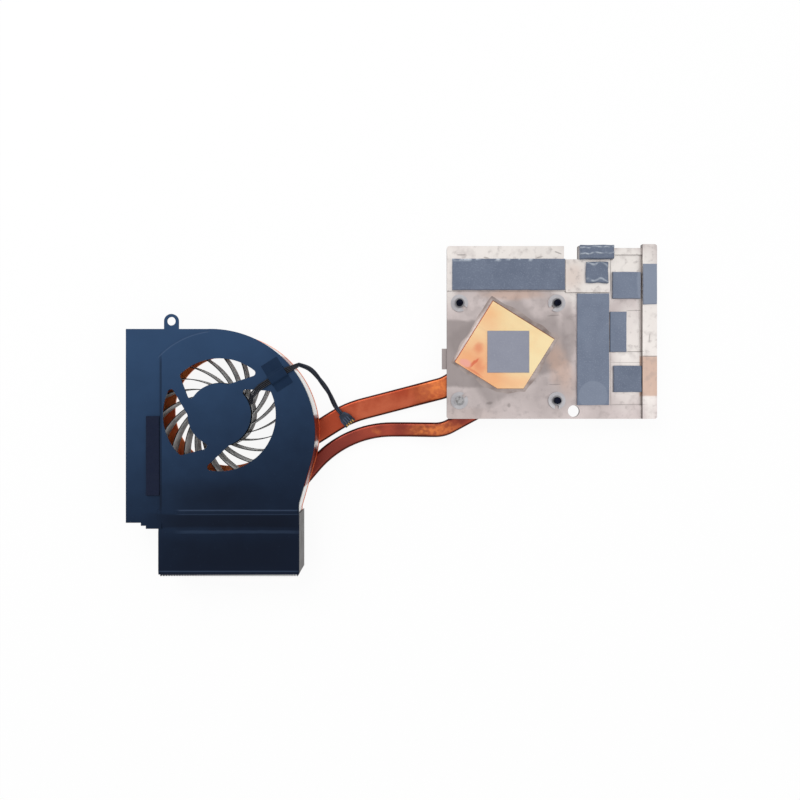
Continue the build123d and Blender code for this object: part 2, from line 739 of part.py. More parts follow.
def fan_cable():
    """Free cable from the cover's edge to the connector."""
    points = cable_points()
    radii = corner_radii(points, CABLE_ARC_SHARE)
    path = FilletPolyline(*points, radius=radii)
    section = Plane(origin=path @ 0, z_dir=path % 0) * RegularPolygon(CABLE_RADIUS, CABLE_SIDES)
    cable = sweep(section, path)
    length = path.length
    print("cable radii", [round(r, 1) for r in radii], "length", round(length, 2))
    print("cable volume share", round(cable.volume / (math.pi * CABLE_RADIUS**2 * length), 4))
    return cable


def connector_plane():
    """Plane on the cable's end, with X across the connector and Y towards its front."""
    before, end = cable_points()[-2:]
    ahead = Vector(end.X - before.X, end.Y - before.Y, 0).normalized()
    low = PIPE_THICKNESS + CONNECTOR_REST
    across = Vector(ahead.Y, -ahead.X, 0)
    return Plane(origin=(end.X, end.Y, low), x_dir=across, z_dir=(0, 0, 1))


def fan_connector():
    """Tapered housing with a row of open cavities at its front."""
    back = CONNECTOR_BACK_WIDTH / 2
    front = CONNECTOR_FRONT_WIDTH / 2
    plan = make_face(
        Polyline(
            (-back, 0),
            (back, 0),
            (front, CONNECTOR_TAPER),
            (front, CONNECTOR_LENGTH),
            (-front, CONNECTOR_LENGTH),
            (-front, CONNECTOR_TAPER),
            close=True,
        )
    )
    body = extrude(plan, CONNECTOR_HEIGHT)
    cavity = Box(CONTACT_WIDTH + 2 * FIT, CONTACT_LENGTH, CAVITY_DEPTH)
    middle = CONNECTOR_HEIGHT - CAVITY_DEPTH / 2
    for i in range(LEAD_COUNT):
        x = (i - (LEAD_COUNT - 1) / 2) * CONTACT_PITCH
        body -= Pos(x, CONNECTOR_LENGTH - CONTACT_LENGTH / 2, middle) * cavity
    return connector_plane() * body


def connector_contacts():
    """Gold contacts on the floors of the connector's cavities."""
    contact = Box(CONTACT_WIDTH, CONTACT_LENGTH, CONTACT_THICKNESS)
    height = CONNECTOR_HEIGHT - CAVITY_DEPTH + CONTACT_THICKNESS / 2
    row = []
    for i in range(LEAD_COUNT):
        x = (i - (LEAD_COUNT - 1) / 2) * CONTACT_PITCH
        row.append(connector_plane() * Pos(x, CONNECTOR_LENGTH - CONTACT_LENGTH / 2, height) * contact)
    return Compound(children=row)


# Heat pipes


def fitted_radii(points, radii):
    """Corner radii, made smaller where the arcs at both ends of a run would meet."""
    runs = [after - before for before, after in zip(points, points[1:])]
    turns = [run_in.get_angle(run_out) for run_in, run_out in zip(runs, runs[1:])]
    tangents = [radius * math.tan(math.radians(turn / 2)) for radius, turn in zip(radii, turns)]
    taken = [start + end for start, end in zip([0, *tangents], [*tangents, 0])]
    room = [min(1, PIPE_ARC_SHARE * run.length / length) for run, length in zip(runs, taken)]
    return [radius * min(pair) for radius, *pair in zip(radii, room, room[1:])]


def flattened_pipe(points, radii, width):
    """A flattened round pipe along straight runs and tangent arcs."""
    path = FilletPolyline(*points, radius=fitted_radii(points, radii))
    start = path % 0
    plane = Plane(origin=path @ 0, x_dir=(-start.Y, start.X, 0), z_dir=start)
    return sweep(plane * SlotOverall(width, PIPE_THICKNESS), path)


def ramp_points(before, after, gap):
    """Start and end of the pipe's rise to the plate, on the straight run before a corner."""
    low = PIPE_THICKNESS / 2
    high = PLATE_LIFT - PIPE_THICKNESS / 2
    run = Vector(after.X - before.X, after.Y - before.Y, 0).normalized()
    end = Vector(after.X, after.Y, high) - run * gap
    start = Vector(after.X, after.Y, low) - run * (gap + PIPE_RAMP_LENGTH)
    return start, end


def upper_pipe_direction():
    """Direction of the upper pipe under the contact block."""
    entry = Vector(*UPPER_PIPE_ENTRY)
    return (Vector(*UPPER_PIPE_BLOCK) - entry).normalized()


def upper_heat_pipe():
    """Wide pipe: along the left fin stack, round the inlet, out to the contact block."""
    low = PIPE_THICKNESS / 2
    high = PLATE_LIFT - PIPE_THICKNESS / 2
    stack_x = -FAN_LEFT + STACK_INSET + LEFT_STACK_DEPTH / 2
    leave = at_fan(*UPPER_PIPE_EXIT, low)
    entry = at_plate(*UPPER_PIPE_ENTRY, high)
    block = Vector(*UPPER_PIPE_BLOCK) + upper_pipe_direction() * UPPER_PIPE_END
    points = [
        at_fan(stack_x, UPPER_PIPE_REACH, low),
        at_fan(stack_x, -UPPER_PIPE_Y, low),
        at_fan(UPPER_PIPE_TURN_X, -UPPER_PIPE_Y, low),
        leave,
        *ramp_points(leave, entry, PIPE_RAMP_GAP),
        entry,
        at_plate(block.X, block.Y, high),
    ]
    radii = [
        PIPE_CORNER_RADIUS,
        PIPE_SWEEP_RADIUS,
        PIPE_SWEEP_RADIUS,
        PIPE_RAMP_RADIUS,
        PIPE_RAMP_RADIUS,
        PIPE_ENTRY_RADIUS,
    ]
    return flattened_pipe(points, radii, UPPER_PIPE_WIDTH)


def lower_heat_pipe():
    """Narrow pipe: along the front fin stack, out beside the wide pipe to the contact block."""
    low = PIPE_THICKNESS / 2
    high = PLATE_LIFT - PIPE_THICKNESS / 2
    leave = at_fan(*LOWER_PIPE_EXIT, low)
    entry = at_plate(*LOWER_PIPE_ENTRY, high)
    along = upper_pipe_direction()
    beside = Vector(along.Y, -along.X) * ((UPPER_PIPE_WIDTH + LOWER_PIPE_WIDTH) / 2 + PIPE_GAP)
    seat = Vector(*UPPER_PIPE_BLOCK) + beside
    turn = seat + along * LOWER_PIPE_ALONG
    end = seat + along * LOWER_PIPE_END
    points = [
        at_fan(-LOWER_PIPE_LEFT, -LOWER_PIPE_Y, low),
        at_fan(LOWER_PIPE_TURN_X, -LOWER_PIPE_Y, low),
        leave,
        *ramp_points(leave, entry, PIPE_RAMP_GAP),
        entry,
        at_plate(*LOWER_PIPE_BEND, high),
        at_plate(turn.X, turn.Y, high),
        at_plate(end.X, end.Y, high),
    ]
    radii = [
        PIPE_CORNER_RADIUS,
        PIPE_SWEEP_RADIUS,
        PIPE_RAMP_RADIUS,
        PIPE_RAMP_RADIUS,
        PIPE_ENTRY_RADIUS,
        PIPE_ENTRY_RADIUS,
        PIPE_ENTRY_RADIUS,
    ]
    return flattened_pipe(points, radii, LOWER_PIPE_WIDTH)


# Mounting plate


def block_outline():
    """Turned square of the contact block with its front corner cut off."""
    square = Pos(*BLOCK_CENTRE) * Rot(0, 0, BLOCK_TURN) * Rectangle(BLOCK_SIDE, BLOCK_SIDE)
    return square & rectangle(-BLOCK_SIDE, BLOCK_CUT_Y, BLOCK_SIDE, BLOCK_SIDE)


def screw_places():
    """Plan places of the four screws: back left, back right, front left, front right."""
    half = SCREW_PITCH / 2
    return [(-half, half), (half, half), (-half, -half), (half, -half)]


def plate_levels():
    """Top height of each region of the plate."""
    return {
        "floor": PLATE_TOP_Z,
        "top_strip": PLATE_TOP_Z + TOP_STRIP_HEIGHT,
        "shelf": PLATE_TOP_Z + SHELF_HEIGHT,
        "column": PLATE_TOP_Z - COLUMN_DEPTH,
        "column_front": PLATE_TOP_Z - COLUMN_FRONT_DEPTH,
        "strip": PLATE_TOP_Z + STRIP_HEIGHT,
        "block": BLOCK_TOP_Z,
    }


def mount_plate():
    """Stepped plate with a window for the block and holes for the screws."""
    level = plate_levels()
    left_top = PLATE_TOP - LEFT_EDGE_DROP
    column_top = PLATE_TOP - COLUMN_EDGE_DROP
    shelf_right = PAD_EDGE[0] + PAD_EDGE[2]
    outline = rectangle(-PLATE_LEFT, -PLATE_BOTTOM, shelf_right, left_top)
    outline += rectangle(shelf_right, -PLATE_BOTTOM, STRIP_LEFT, column_top)
    outline += rectangle(STRIP_LEFT, -PLATE_BOTTOM, PLATE_RIGHT, PLATE_TOP)
    notch_floor = left_top - NOTCH_DEPTH
    outline -= rectangle(NOTCH_LEFT, notch_floor, NOTCH_RIGHT, PLATE_TOP)
    corners = outline.vertices().group_by(Axis.X)
    outline = fillet([*corners[0], *corners[-1]], PLATE_CORNER)
    holes = block_outline() + Pos(HOLE_X, HOLE_Y) * Circle(HOLE_RADIUS)
    for place in screw_places():
        holes += Pos(*place) * Circle(SHANK_RADIUS + SHANK_CLEARANCE)
    outline -= holes
    lands = {
        "top_strip": rectangle(-PLATE_LEFT, TOP_STRIP_Y, SHELF_LEFT, PLATE_TOP),
        "shelf": rectangle(SHELF_LEFT, SHELF_FRONT_Y, COLUMN_LEFT, PLATE_TOP)
        + rectangle(COLUMN_LEFT, notch_floor, shelf_right, PLATE_TOP),
        "strip": rectangle(STRIP_LEFT, -PLATE_BOTTOM, PLATE_RIGHT, PLATE_TOP),
    }
    pockets = {
        "column": rectangle(COLUMN_LEFT, COLUMN_STEP_Y, STRIP_LEFT, COLUMN_BACK_Y)
        - rectangle(COLUMN_LEFT, notch_floor, shelf_right, PLATE_TOP),
        "column_front": rectangle(COLUMN_LEFT, COLUMN_FRONT_Y, STRIP_LEFT, COLUMN_STEP_Y),
    }
    plate = slab(outline, PATTERN_CENTRE, PLATE_LIFT, PLATE_TOP_Z)
    for name, region in lands.items():
        plate += slab(outline & region, PATTERN_CENTRE, PLATE_LIFT, level[name])
    for name, region in pockets.items():
        plate -= slab(region, PATTERN_CENTRE, level[name], level["strip"])
    tab = rectangle(-PLATE_LEFT - TAB_REACH, TAB_BOTTOM, -PLATE_LEFT, TAB_TOP)
    return plate + slab(tab, PATTERN_CENTRE, PLATE_LIFT, PLATE_LIFT + TAB_THICKNESS)


def contact_block():
    """Copper block soldered into the plate's window, standing proud of the plate."""
    return slab(block_outline(), PATTERN_CENTRE, PLATE_LIFT, BLOCK_TOP_Z)


def pad(size, level):
    """A thermal pad on a level of the plate."""
    left, bottom, width, length, thickness = size
    plan = rectangle(left, bottom, left + width, bottom + length)
    low = plate_levels()[level]
    return slab(plan, PATTERN_CENTRE, low, low + thickness)


def thermal_pads():
    """All thermal pads, each on the level that carries it."""
    return {
        "gpu_pad": pad(GPU_PAD, "block"),
        "memory_pad_top": pad(MEMORY_PAD_TOP, "top_strip"),
        "memory_pad_right": pad(MEMORY_PAD_RIGHT, "floor"),
        "pad_edge": pad(PAD_EDGE, "shelf"),
        "pad_small_upper": pad(PAD_SMALL_UPPER, "shelf"),
        "pad_vrm_upper": pad(PAD_VRM_UPPER, "column"),
        "pad_vrm_middle": pad(PAD_VRM_MIDDLE, "column"),
        "pad_vrm_lower": pad(PAD_VRM_LOWER, "column_front"),
        "pad_strip_right": pad(PAD_STRIP_RIGHT, "strip"),
    }


# Captive screws


def captive_screw():
    """Screw on its own axis: head below, shank through the plate, groove for the clip, tip on top."""
    clip_low = PLATE_TOP_Z + CLIP_GAP
    clip_high = clip_low + CLIP_THICKNESS
    groove_low = clip_low - CLIP_GAP
    groove_high = clip_high + CLIP_GAP
    shoulder_top = groove_high + SHOULDER_RISE
    groove = SHANK_RADIUS - GROOVE_DEPTH
    profile = Polyline(
        (0, HEAD_Z),
        (HEAD_RADIUS, HEAD_Z),
        (HEAD_RADIUS, HEAD_TOP_Z),
        (SHANK_RADIUS, HEAD_TOP_Z),
        (SHANK_RADIUS, groove_low),
        (groove, groove_low),
        (groove, groove_high),
        (SHOULDER_RADIUS, groove_high),
        (SHOULDER_RADIUS, shoulder_top),
        (SCREW_TIP_RADIUS, shoulder_top),
        (SCREW_TIP_RADIUS, shoulder_top + SCREW_TIP_LENGTH),
        (0, shoulder_top + SCREW_TIP_LENGTH),
        close=True,
    )
    screw = revolve(Plane.XZ * make_face(profile), Axis.Z)
    for turn in (0, 90):
        slot = Box(RECESS_LENGTH, RECESS_WIDTH, RECESS_DEPTH)
        screw -= Pos(0, 0, HEAD_Z + RECESS_DEPTH / 2) * Rot(0, 0, turn) * slot
    return screw


def screw_clip(slot_angle):
    """C-clip that sits in the screw's groove and stops it at the plate."""
    inner = SHANK_RADIUS - GROOVE_DEPTH + CLIP_GAP
    plan = Circle(CLIP_RADIUS) - Circle(inner)
    plan -= Rot(0, 0, slot_angle) * Pos(CLIP_RADIUS, 0) * Rectangle(2 * (CLIP_RADIUS - inner / 2), CLIP_SLOT)
    low = PLATE_TOP_Z + CLIP_GAP
    return slab(plan, (0, 0), low, low + CLIP_THICKNESS)


def screw_spring():
    """Coil spring of square wire between the screw's head and the plate, bent in short chords."""
    low = HEAD_TOP_Z + SPRING_WIRE / 2 + FIT
    height = PLATE_LIFT - SPRING_WIRE / 2 - FIT - low
    steps = round(SPRING_TURNS * SPRING_CHORDS)
    line = [(*polar(SPRING_RADIUS, 360 * i / SPRING_CHORDS), low + height * i / steps) for i in range(steps + 1)]
    path = Polyline(*line)
    section = Plane(origin=path @ 0, x_dir=(1, 0, 0), z_dir=path % 0) * Rectangle(SPRING_WIRE, SPRING_WIRE)
    return sweep(section, path, is_frenet=False, transition=Transition.RIGHT)


def screw_sets():
    """Screw, clip and spring at each corner of the pattern."""
    screw = captive_screw()
    spring = screw_spring()
    nodes = {}
    for number, (place, slot_angle) in enumerate(zip(screw_places(), CLIP_SLOT_ANGLES), start=1):
        spot = Pos(at_plate(*place))
        nodes[f"captive_screw_{number}"] = spot * screw
        nodes[f"screw_clip_{number}"] = spot * screw_clip(slot_angle)
        nodes[f"screw_spring_{number}"] = spot * spring
    return nodes


def build_nodes():
    """Every piece of the module, by node name."""
    return {
        "motor_plate": motor_plate(),
        "base_sheet": base_sheet(),
        "scroll_wall": scroll_wall(),
        "cutoff_wall": cutoff_wall(),
        "end_plate": end_plate(),
        "left_fin_stack": left_fin_stack(),
        "front_fin_stack": front_fin_stack(),
        "impeller": impeller(),
        **rotor_parts(),
        **motor_parts(),
        "foam_strip": foam_strip(),
        "fan_leads": fan_leads(),
        "lead_tape": lead_tape(),
        "fan_cable": fan_cable(),
        "fan_connector": fan_connector(),
        "connector_contacts": connector_contacts(),
        "upper_heat_pipe": upper_heat_pipe(),
        "lower_heat_pipe": lower_heat_pipe(),
        "mount_plate": mount_plate(),
        "contact_block": contact_block(),
        **thermal_pads(),
        **screw_sets(),
    }


os.makedirs("parts", exist_ok=True)
for node, shape in build_nodes().items():
    export_step(shape, f"parts/{node}.step")
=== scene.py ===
"""Looks of a laptop cooling module: blower, heat pipes and stepped mounting plate, contact side up."""

import json
import logging
import math
from dataclasses import dataclass, field
from enum import Enum
from typing import Callable, Iterable, Union

import bmesh
import bpy
from mathutils import Matrix, Vector, noise


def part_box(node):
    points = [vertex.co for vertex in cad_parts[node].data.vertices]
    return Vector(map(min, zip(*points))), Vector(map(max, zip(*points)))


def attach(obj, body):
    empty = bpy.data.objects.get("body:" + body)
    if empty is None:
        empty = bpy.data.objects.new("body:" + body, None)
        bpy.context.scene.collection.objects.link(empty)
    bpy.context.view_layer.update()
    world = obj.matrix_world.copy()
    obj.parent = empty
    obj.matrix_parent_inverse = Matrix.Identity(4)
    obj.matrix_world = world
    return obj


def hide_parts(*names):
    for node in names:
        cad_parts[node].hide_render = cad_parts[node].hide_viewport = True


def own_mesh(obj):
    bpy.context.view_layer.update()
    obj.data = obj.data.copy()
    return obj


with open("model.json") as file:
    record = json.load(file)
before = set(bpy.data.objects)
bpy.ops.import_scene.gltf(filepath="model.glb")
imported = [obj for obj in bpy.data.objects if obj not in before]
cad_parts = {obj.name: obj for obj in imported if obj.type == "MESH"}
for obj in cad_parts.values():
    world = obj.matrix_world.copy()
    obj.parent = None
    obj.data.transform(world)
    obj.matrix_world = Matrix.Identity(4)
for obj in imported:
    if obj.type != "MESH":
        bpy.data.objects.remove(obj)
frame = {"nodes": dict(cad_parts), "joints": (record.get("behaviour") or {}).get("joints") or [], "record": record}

LOG = logging.getLogger("cooling_module")
MM = 0.001
MODULE = "module"
SCALAR_MATH = "ShaderNodeMath"
VECTOR_MATH = "ShaderNodeVectorMath"
NUMBER_RESULTS = ("DOT_PRODUCT", "LENGTH")
ORIGIN = (0.0, 0.0, 0.0)
UP = Vector((0.0, 0.0, 1.0))
IN_PLAN = Vector((1.0, 1.0, 0.0))
CUT_SEED = 11

Colour = tuple[float, float, float, float]
Span = tuple[float, float]
Socket = bpy.types.NodeSocket
Sockets = bpy.types.bpy_prop_collection
Value = Union[float, Colour, Vector, Socket]


def paint_chip(red: int, green: int, blue: int) -> Colour:
    """Turn a colour as it looks on a screen into the linear colour that shaders take.

    Args:
        red: Red from 0 to 255.
        green: Green from 0 to 255.
        blue: Blue from 0 to 255.

    Returns:
        The linear colour with full alpha.
    """
    linear = [c / 12.92 if c <= 0.04045 else ((c + 0.055) / 1.055) ** 2.4
              for c in (red / 255, green / 255, blue / 255)]
    return (linear[0], linear[1], linear[2], 1.0)


def mount_place(name: str) -> Vector:
    """Give the place of one of the record's mounts.

    Args:
        name: The mount's name.

    Returns:
        Its point in the frame, in metres.
    """
    mounts = frame["record"]["mounts"]
    return Vector(next(m["pos_m"] for m in mounts if m["name"] == name))


def joint_place(name: str) -> Vector:
    """Give the place of one of the record's hinges.

    Args:
        name: The joint's name.

    Returns:
        Its point in the frame, in metres.
    """
    return Vector(next(j["pos_m"] for j in frame["joints"] if j["name"] == name))


FAN_AXIS = joint_place("impeller_spin")
PATTERN = mount_place("captive_screws")


def at_fan(x_mm: float, y_mm: float, z_mm: float = 0.0) -> Vector:
    """Give a point measured in millimetres from the rotor axis, at a height above the table."""
    return Vector((FAN_AXIS.x + x_mm * MM, FAN_AXIS.y + y_mm * MM, z_mm * MM))


def at_plate(x_mm: float, y_mm: float, z_mm: float = 0.0) -> Vector:
    """Give a point measured in millimetres from the screw pattern's centre, at a height above the table."""
    return Vector((PATTERN.x + x_mm * MM, PATTERN.y + y_mm * MM, z_mm * MM))


# Shared shader effects


def feed(tree: bpy.types.NodeTree, socket: Socket, value: Value) -> None:
    """Link a node's input to a socket, or set a plain value on it.

    Args:
        tree: The node tree.
        socket: The node's input.
        value: A socket or a plain value.
    """
    if isinstance(value, Socket):
        tree.links.new(value, socket)
    else:
        socket.default_value = value


def math_node(tree: bpy.types.NodeTree, kind: str, operation: str, *inputs: Value) -> Socket:
    """Add a scalar or vector math node.

    Args:
        tree: The node tree.
        kind: SCALAR_MATH or VECTOR_MATH.
        operation: The operation's name.
        inputs: Its inputs in order, as values or sockets.

    Returns:
        The node's result.
    """
    node = tree.nodes.new(kind)
    node.operation = operation
    for socket, value in zip(node.inputs, inputs):
        feed(tree, socket, value)
    is_number = kind == SCALAR_MATH or operation in NUMBER_RESULTS
    return node.outputs["Value" if is_number else "Vector"]


def map_range(tree: bpy.types.NodeTree, value: Socket, limits: dict[str, Value], smooth: bool) -> Socket:
    """Add a map range node.

    Args:
        tree: The node tree.
        value: What is mapped.
        limits: Values or sockets for its limits, by their names on the node.
        smooth: True for a smooth step, False for a straight line.

    Returns:
        The mapped value.
    """
    node = tree.nodes.new("ShaderNodeMapRange")
    node.interpolation_type = "SMOOTHSTEP" if smooth else "LINEAR"
    tree.links.new(value, node.inputs["Value"])
    for name, limit in limits.items():
        feed(tree, node.inputs[name], limit)
    return node.outputs["Result"]


class Effect(Enum):
    """Shader node groups that several finishes share."""

    MOTTLE = "Mottle"
    BRUSHED = "Brushed"
    PATCH = "Patch"
    BAND = "Band"
    FACING = "Facing"
    LEVEL = "Level"
    SPECKLE = "Speckle"
    RING = "Ring"


class EffectShop:
    """Makes each shared node group once and hands it out."""

    def __init__(self) -> None:
        """Start with no group made."""
        self._made: dict[Effect, bpy.types.NodeTree] = {}
        self._makers: dict[Effect, Callable[[bpy.types.NodeTree], Socket]] = {
            Effect.MOTTLE: self._mottle,
            Effect.BRUSHED: self._brushed,
            Effect.PATCH: self._patch,
            Effect.BAND: self._band,
            Effect.FACING: self._facing,
            Effect.LEVEL: self._level,
            Effect.SPECKLE: self._speckle,
            Effect.RING: self._ring,
        }

    def get(self, effect: Effect) -> bpy.types.NodeTree:
        """Give the node group of an effect, made on first use.

        Args:
            effect: The effect that is wanted.

        Returns:
            Its node group, which puts out one mask.
        """
        if effect not in self._made:
            tree = bpy.data.node_groups.new(effect.value, "ShaderNodeTree")
            mask = self._makers[effect](tree)
            tree.interface.new_socket(name="Mask", in_out="OUTPUT", socket_type="NodeSocketFloat")
            end = tree.nodes.new("NodeGroupOutput")
            tree.links.new(mask, end.inputs["Mask"])
            self._made[effect] = tree
        return self._made[effect]

    @staticmethod
    def _given(tree: bpy.types.NodeTree, inputs: dict[str, Value]) -> Sockets:
        """Add a group's named inputs.

        Args:
            tree: The group.
            inputs: Input names with default values: a vector or a number each.

        Returns:
            What the group is given, by name.
        """
        for name, default in inputs.items():
            kind = "NodeSocketVector" if isinstance(default, tuple) else "NodeSocketFloat"
            socket = tree.interface.new_socket(name=name, in_out="INPUT", socket_type=kind)
            socket.default_value = default
        return tree.nodes.new("NodeGroupInput").outputs

    @staticmethod
    def _noise(tree: bpy.types.NodeTree, vector: Socket, scale: Value, octaves: float) -> Sockets:
        """Add a noise texture.

        Args:
            tree: The group that gets it.
            vector: Where it is read.
            scale: Its scale, a number or a socket.
            octaves: How many finer layers it has.

        Returns:
            Its outputs: the value first, then the colour.
        """
        node = tree.nodes.new("ShaderNodeTexNoise")
        for name, value in (("Vector", vector), ("Scale", scale), ("Detail", octaves)):
            feed(tree, node.inputs[name], value)
        return node.outputs

    @staticmethod
    def _parts(tree: bpy.types.NodeTree, vector: Socket) -> Sockets:
        """Split a vector into its X, Y and Z.

        Args:
            tree: The group.
            vector: The vector.

        Returns:
            Its three values, by name.
        """
        node = tree.nodes.new("ShaderNodeSeparateXYZ")
        tree.links.new(vector, node.inputs["Vector"])
        return node.outputs

    @staticmethod
    def _turned(tree: bpy.types.NodeTree, vector: Socket, angle: Socket) -> Socket:
        """Turn a vector about the upright axis.

        Args:
            tree: The group.
            vector: The vector.
            angle: By how much it is turned.

        Returns:
            The turned vector.
        """
        node = tree.nodes.new("ShaderNodeVectorRotate")
        node.rotation_type = "Z_AXIS"
        tree.links.new(vector, node.inputs["Vector"])
        tree.links.new(angle, node.inputs["Angle"])
        return node.outputs["Vector"]

    @staticmethod
    def _step(tree: bpy.types.NodeTree, value: Socket, low: Value, high: Value) -> Socket:
        """Add a smooth step from 0 at one value to 1 at another."""
        return map_range(tree, value, {"From Min": low, "From Max": high}, smooth=True)

    def _mottle(self, tree: bpy.types.NodeTree) -> Socket:
        """Build soft clouds between two thresholds.

        Args:
            tree: The group.

        Returns:
            The mask.
        """
        given = self._given(tree, {"Vector": ORIGIN, "Scale": 60.0, "Low": 0.35, "High": 0.65})
        cloud = self._noise(tree, given["Vector"], given["Scale"], octaves=6.0)
        return self._step(tree, cloud[0], given["Low"], given["High"])

    def _brushed(self, tree: bpy.types.NodeTree) -> Socket:
        """Build fine lines drawn out along a direction in plan.

        Args:
            tree: The group.

        Returns:
            The mask.
        """
        given = self._given(tree, {"Vector": ORIGIN, "Turn": 0.0, "Scale": 2500.0, "Stretch": 0.03})
        parts = self._parts(tree, self._turned(tree, given["Vector"], given["Turn"]))
        along = math_node(tree, SCALAR_MATH, "MULTIPLY", parts["X"], given["Stretch"])
        drawn = tree.nodes.new("ShaderNodeCombineXYZ")
        for name, value in (("X", along), ("Y", parts["Y"]), ("Z", parts["Z"])):
            tree.links.new(value, drawn.inputs[name])
        return self._noise(tree, drawn.outputs["Vector"], given["Scale"], octaves=3.0)[0]

    def _patch(self, tree: bpy.types.NodeTree) -> Socket:
        """Build one oval or square patch with a ragged edge, placed in the frame.

        Args:
            tree: The group.

        Returns:
            The mask.
        """
        given = self._given(tree, {
            "Vector": ORIGIN, "Centre": ORIGIN, "Size": (0.01, 0.01, 0.01), "Turn": 0.0,
            "Soft": 0.4, "Ragged": 0.004, "Scale": 160.0, "Square": 0.0,
        })
        wander = self._noise(tree, given["Vector"], given["Scale"], octaves=4.0)
        shift = math_node(tree, VECTOR_MATH, "SUBTRACT", wander[1], (0.5, 0.5, 0.5))
        moved = math_node(tree, VECTOR_MATH, "SCALE", shift, ORIGIN, ORIGIN, given["Ragged"])
        place = math_node(tree, VECTOR_MATH, "ADD", given["Vector"], moved)
        near = math_node(tree, VECTOR_MATH, "SUBTRACT", place, given["Centre"])
        turned = self._turned(tree, near, given["Turn"])
        share = math_node(tree, VECTOR_MATH, "DIVIDE", turned, given["Size"])
        oval = math_node(tree, VECTOR_MATH, "LENGTH", share)
        sides = self._parts(tree, math_node(tree, VECTOR_MATH, "ABSOLUTE", share))
        square = math_node(tree, SCALAR_MATH, "MAXIMUM", sides["X"], sides["Y"])
        far = tree.nodes.new("ShaderNodeMix")
        for name, value in (("Factor", given["Square"]), ("A", oval), ("B", square)):
            tree.links.new(value, far.inputs[name])
        outer = math_node(tree, SCALAR_MATH, "ADD", given["Soft"], 1.0)
        inner = math_node(tree, SCALAR_MATH, "SUBTRACT", 1.0, given["Soft"])
        return self._step(tree, far.outputs["Result"], outer, inner)

    def _band(self, tree: bpy.types.NodeTree) -> Socket:
        """Build a mask that rises from 0 to 1 along a direction in the frame.

        Args:
            tree: The group.

        Returns:
            The mask.
        """
        given = self._given(tree, {
            "Vector": ORIGIN, "Along": (0.0, 1.0, 0.0), "Low": 0.0, "High": 1.0, "Ragged": 0.0,
        })
        along = math_node(tree, VECTOR_MATH, "DOT_PRODUCT", given["Vector"], given["Along"])
        wander = self._noise(tree, given["Vector"], scale=120.0, octaves=4.0)
        shift = math_node(tree, SCALAR_MATH, "SUBTRACT", wander[0], 0.5)
        moved = math_node(tree, SCALAR_MATH, "MULTIPLY_ADD", shift, given["Ragged"], along)
        return self._step(tree, moved, given["Low"], given["High"])

    def _facing(self, tree: bpy.types.NodeTree) -> Socket:
        """Build a mask of what faces up."""
        return self._tilt(tree, "ADD", "True Normal")

    def _level(self, tree: bpy.types.NodeTree) -> Socket:
        """Build a mask of what lies level, facing up or down."""
        return self._tilt(tree, "ABSOLUTE", "Normal")

    def _tilt(self, tree: bpy.types.NodeTree, operation: str, normal: str) -> Socket:
        """Build a mask from how far a face's normal points along the height.

        Args:
            tree: The group.
            operation: ADD keeps the direction and ABSOLUTE drops it.
            normal: Which normal it reads, the flat face's or the smoothed one.

        Returns:
            The mask.
        """
        given = self._given(tree, {"Low": 0.2, "High": 0.9})
        surface = tree.nodes.new("ShaderNodeNewGeometry")
        height = self._parts(tree, surface.outputs[normal])["Z"]
        tilt = math_node(tree, SCALAR_MATH, operation, height, 0.0)
        return self._step(tree, tilt, given["Low"], given["High"])

    def _speckle(self, tree: bpy.types.NodeTree) -> Socket:
        """Build small separate grains.

        Args:
            tree: The group.

        Returns:
            The mask.
        """
        given = self._given(tree, {"Vector": ORIGIN, "Scale": 1800.0, "Size": 0.3})
        cells = tree.nodes.new("ShaderNodeTexVoronoi")
        for name in ("Vector", "Scale"):
            tree.links.new(given[name], cells.inputs[name])
        return self._step(tree, cells.outputs["Distance"], given["Size"], 0.0)

    def _ring(self, tree: bpy.types.NodeTree) -> Socket:
        """Build a thin ring about an upright axis.

        Args:
            tree: The group.

        Returns:
            The mask.
        """
        given = self._given(tree, {"Vector": ORIGIN, "Centre": ORIGIN, "Radius": 0.01, "Width": 0.0004})
        near = math_node(tree, VECTOR_MATH, "SUBTRACT", given["Vector"], given["Centre"])
        flat = math_node(tree, VECTOR_MATH, "MULTIPLY", near, tuple(IN_PLAN))
        far = math_node(tree, VECTOR_MATH, "LENGTH", flat)
        gap = math_node(tree, SCALAR_MATH, "SUBTRACT", far, given["Radius"])
        size = math_node(tree, SCALAR_MATH, "ABSOLUTE", gap)
        return self._step(tree, size, given["Width"], 0.0)


EFFECTS = EffectShop()


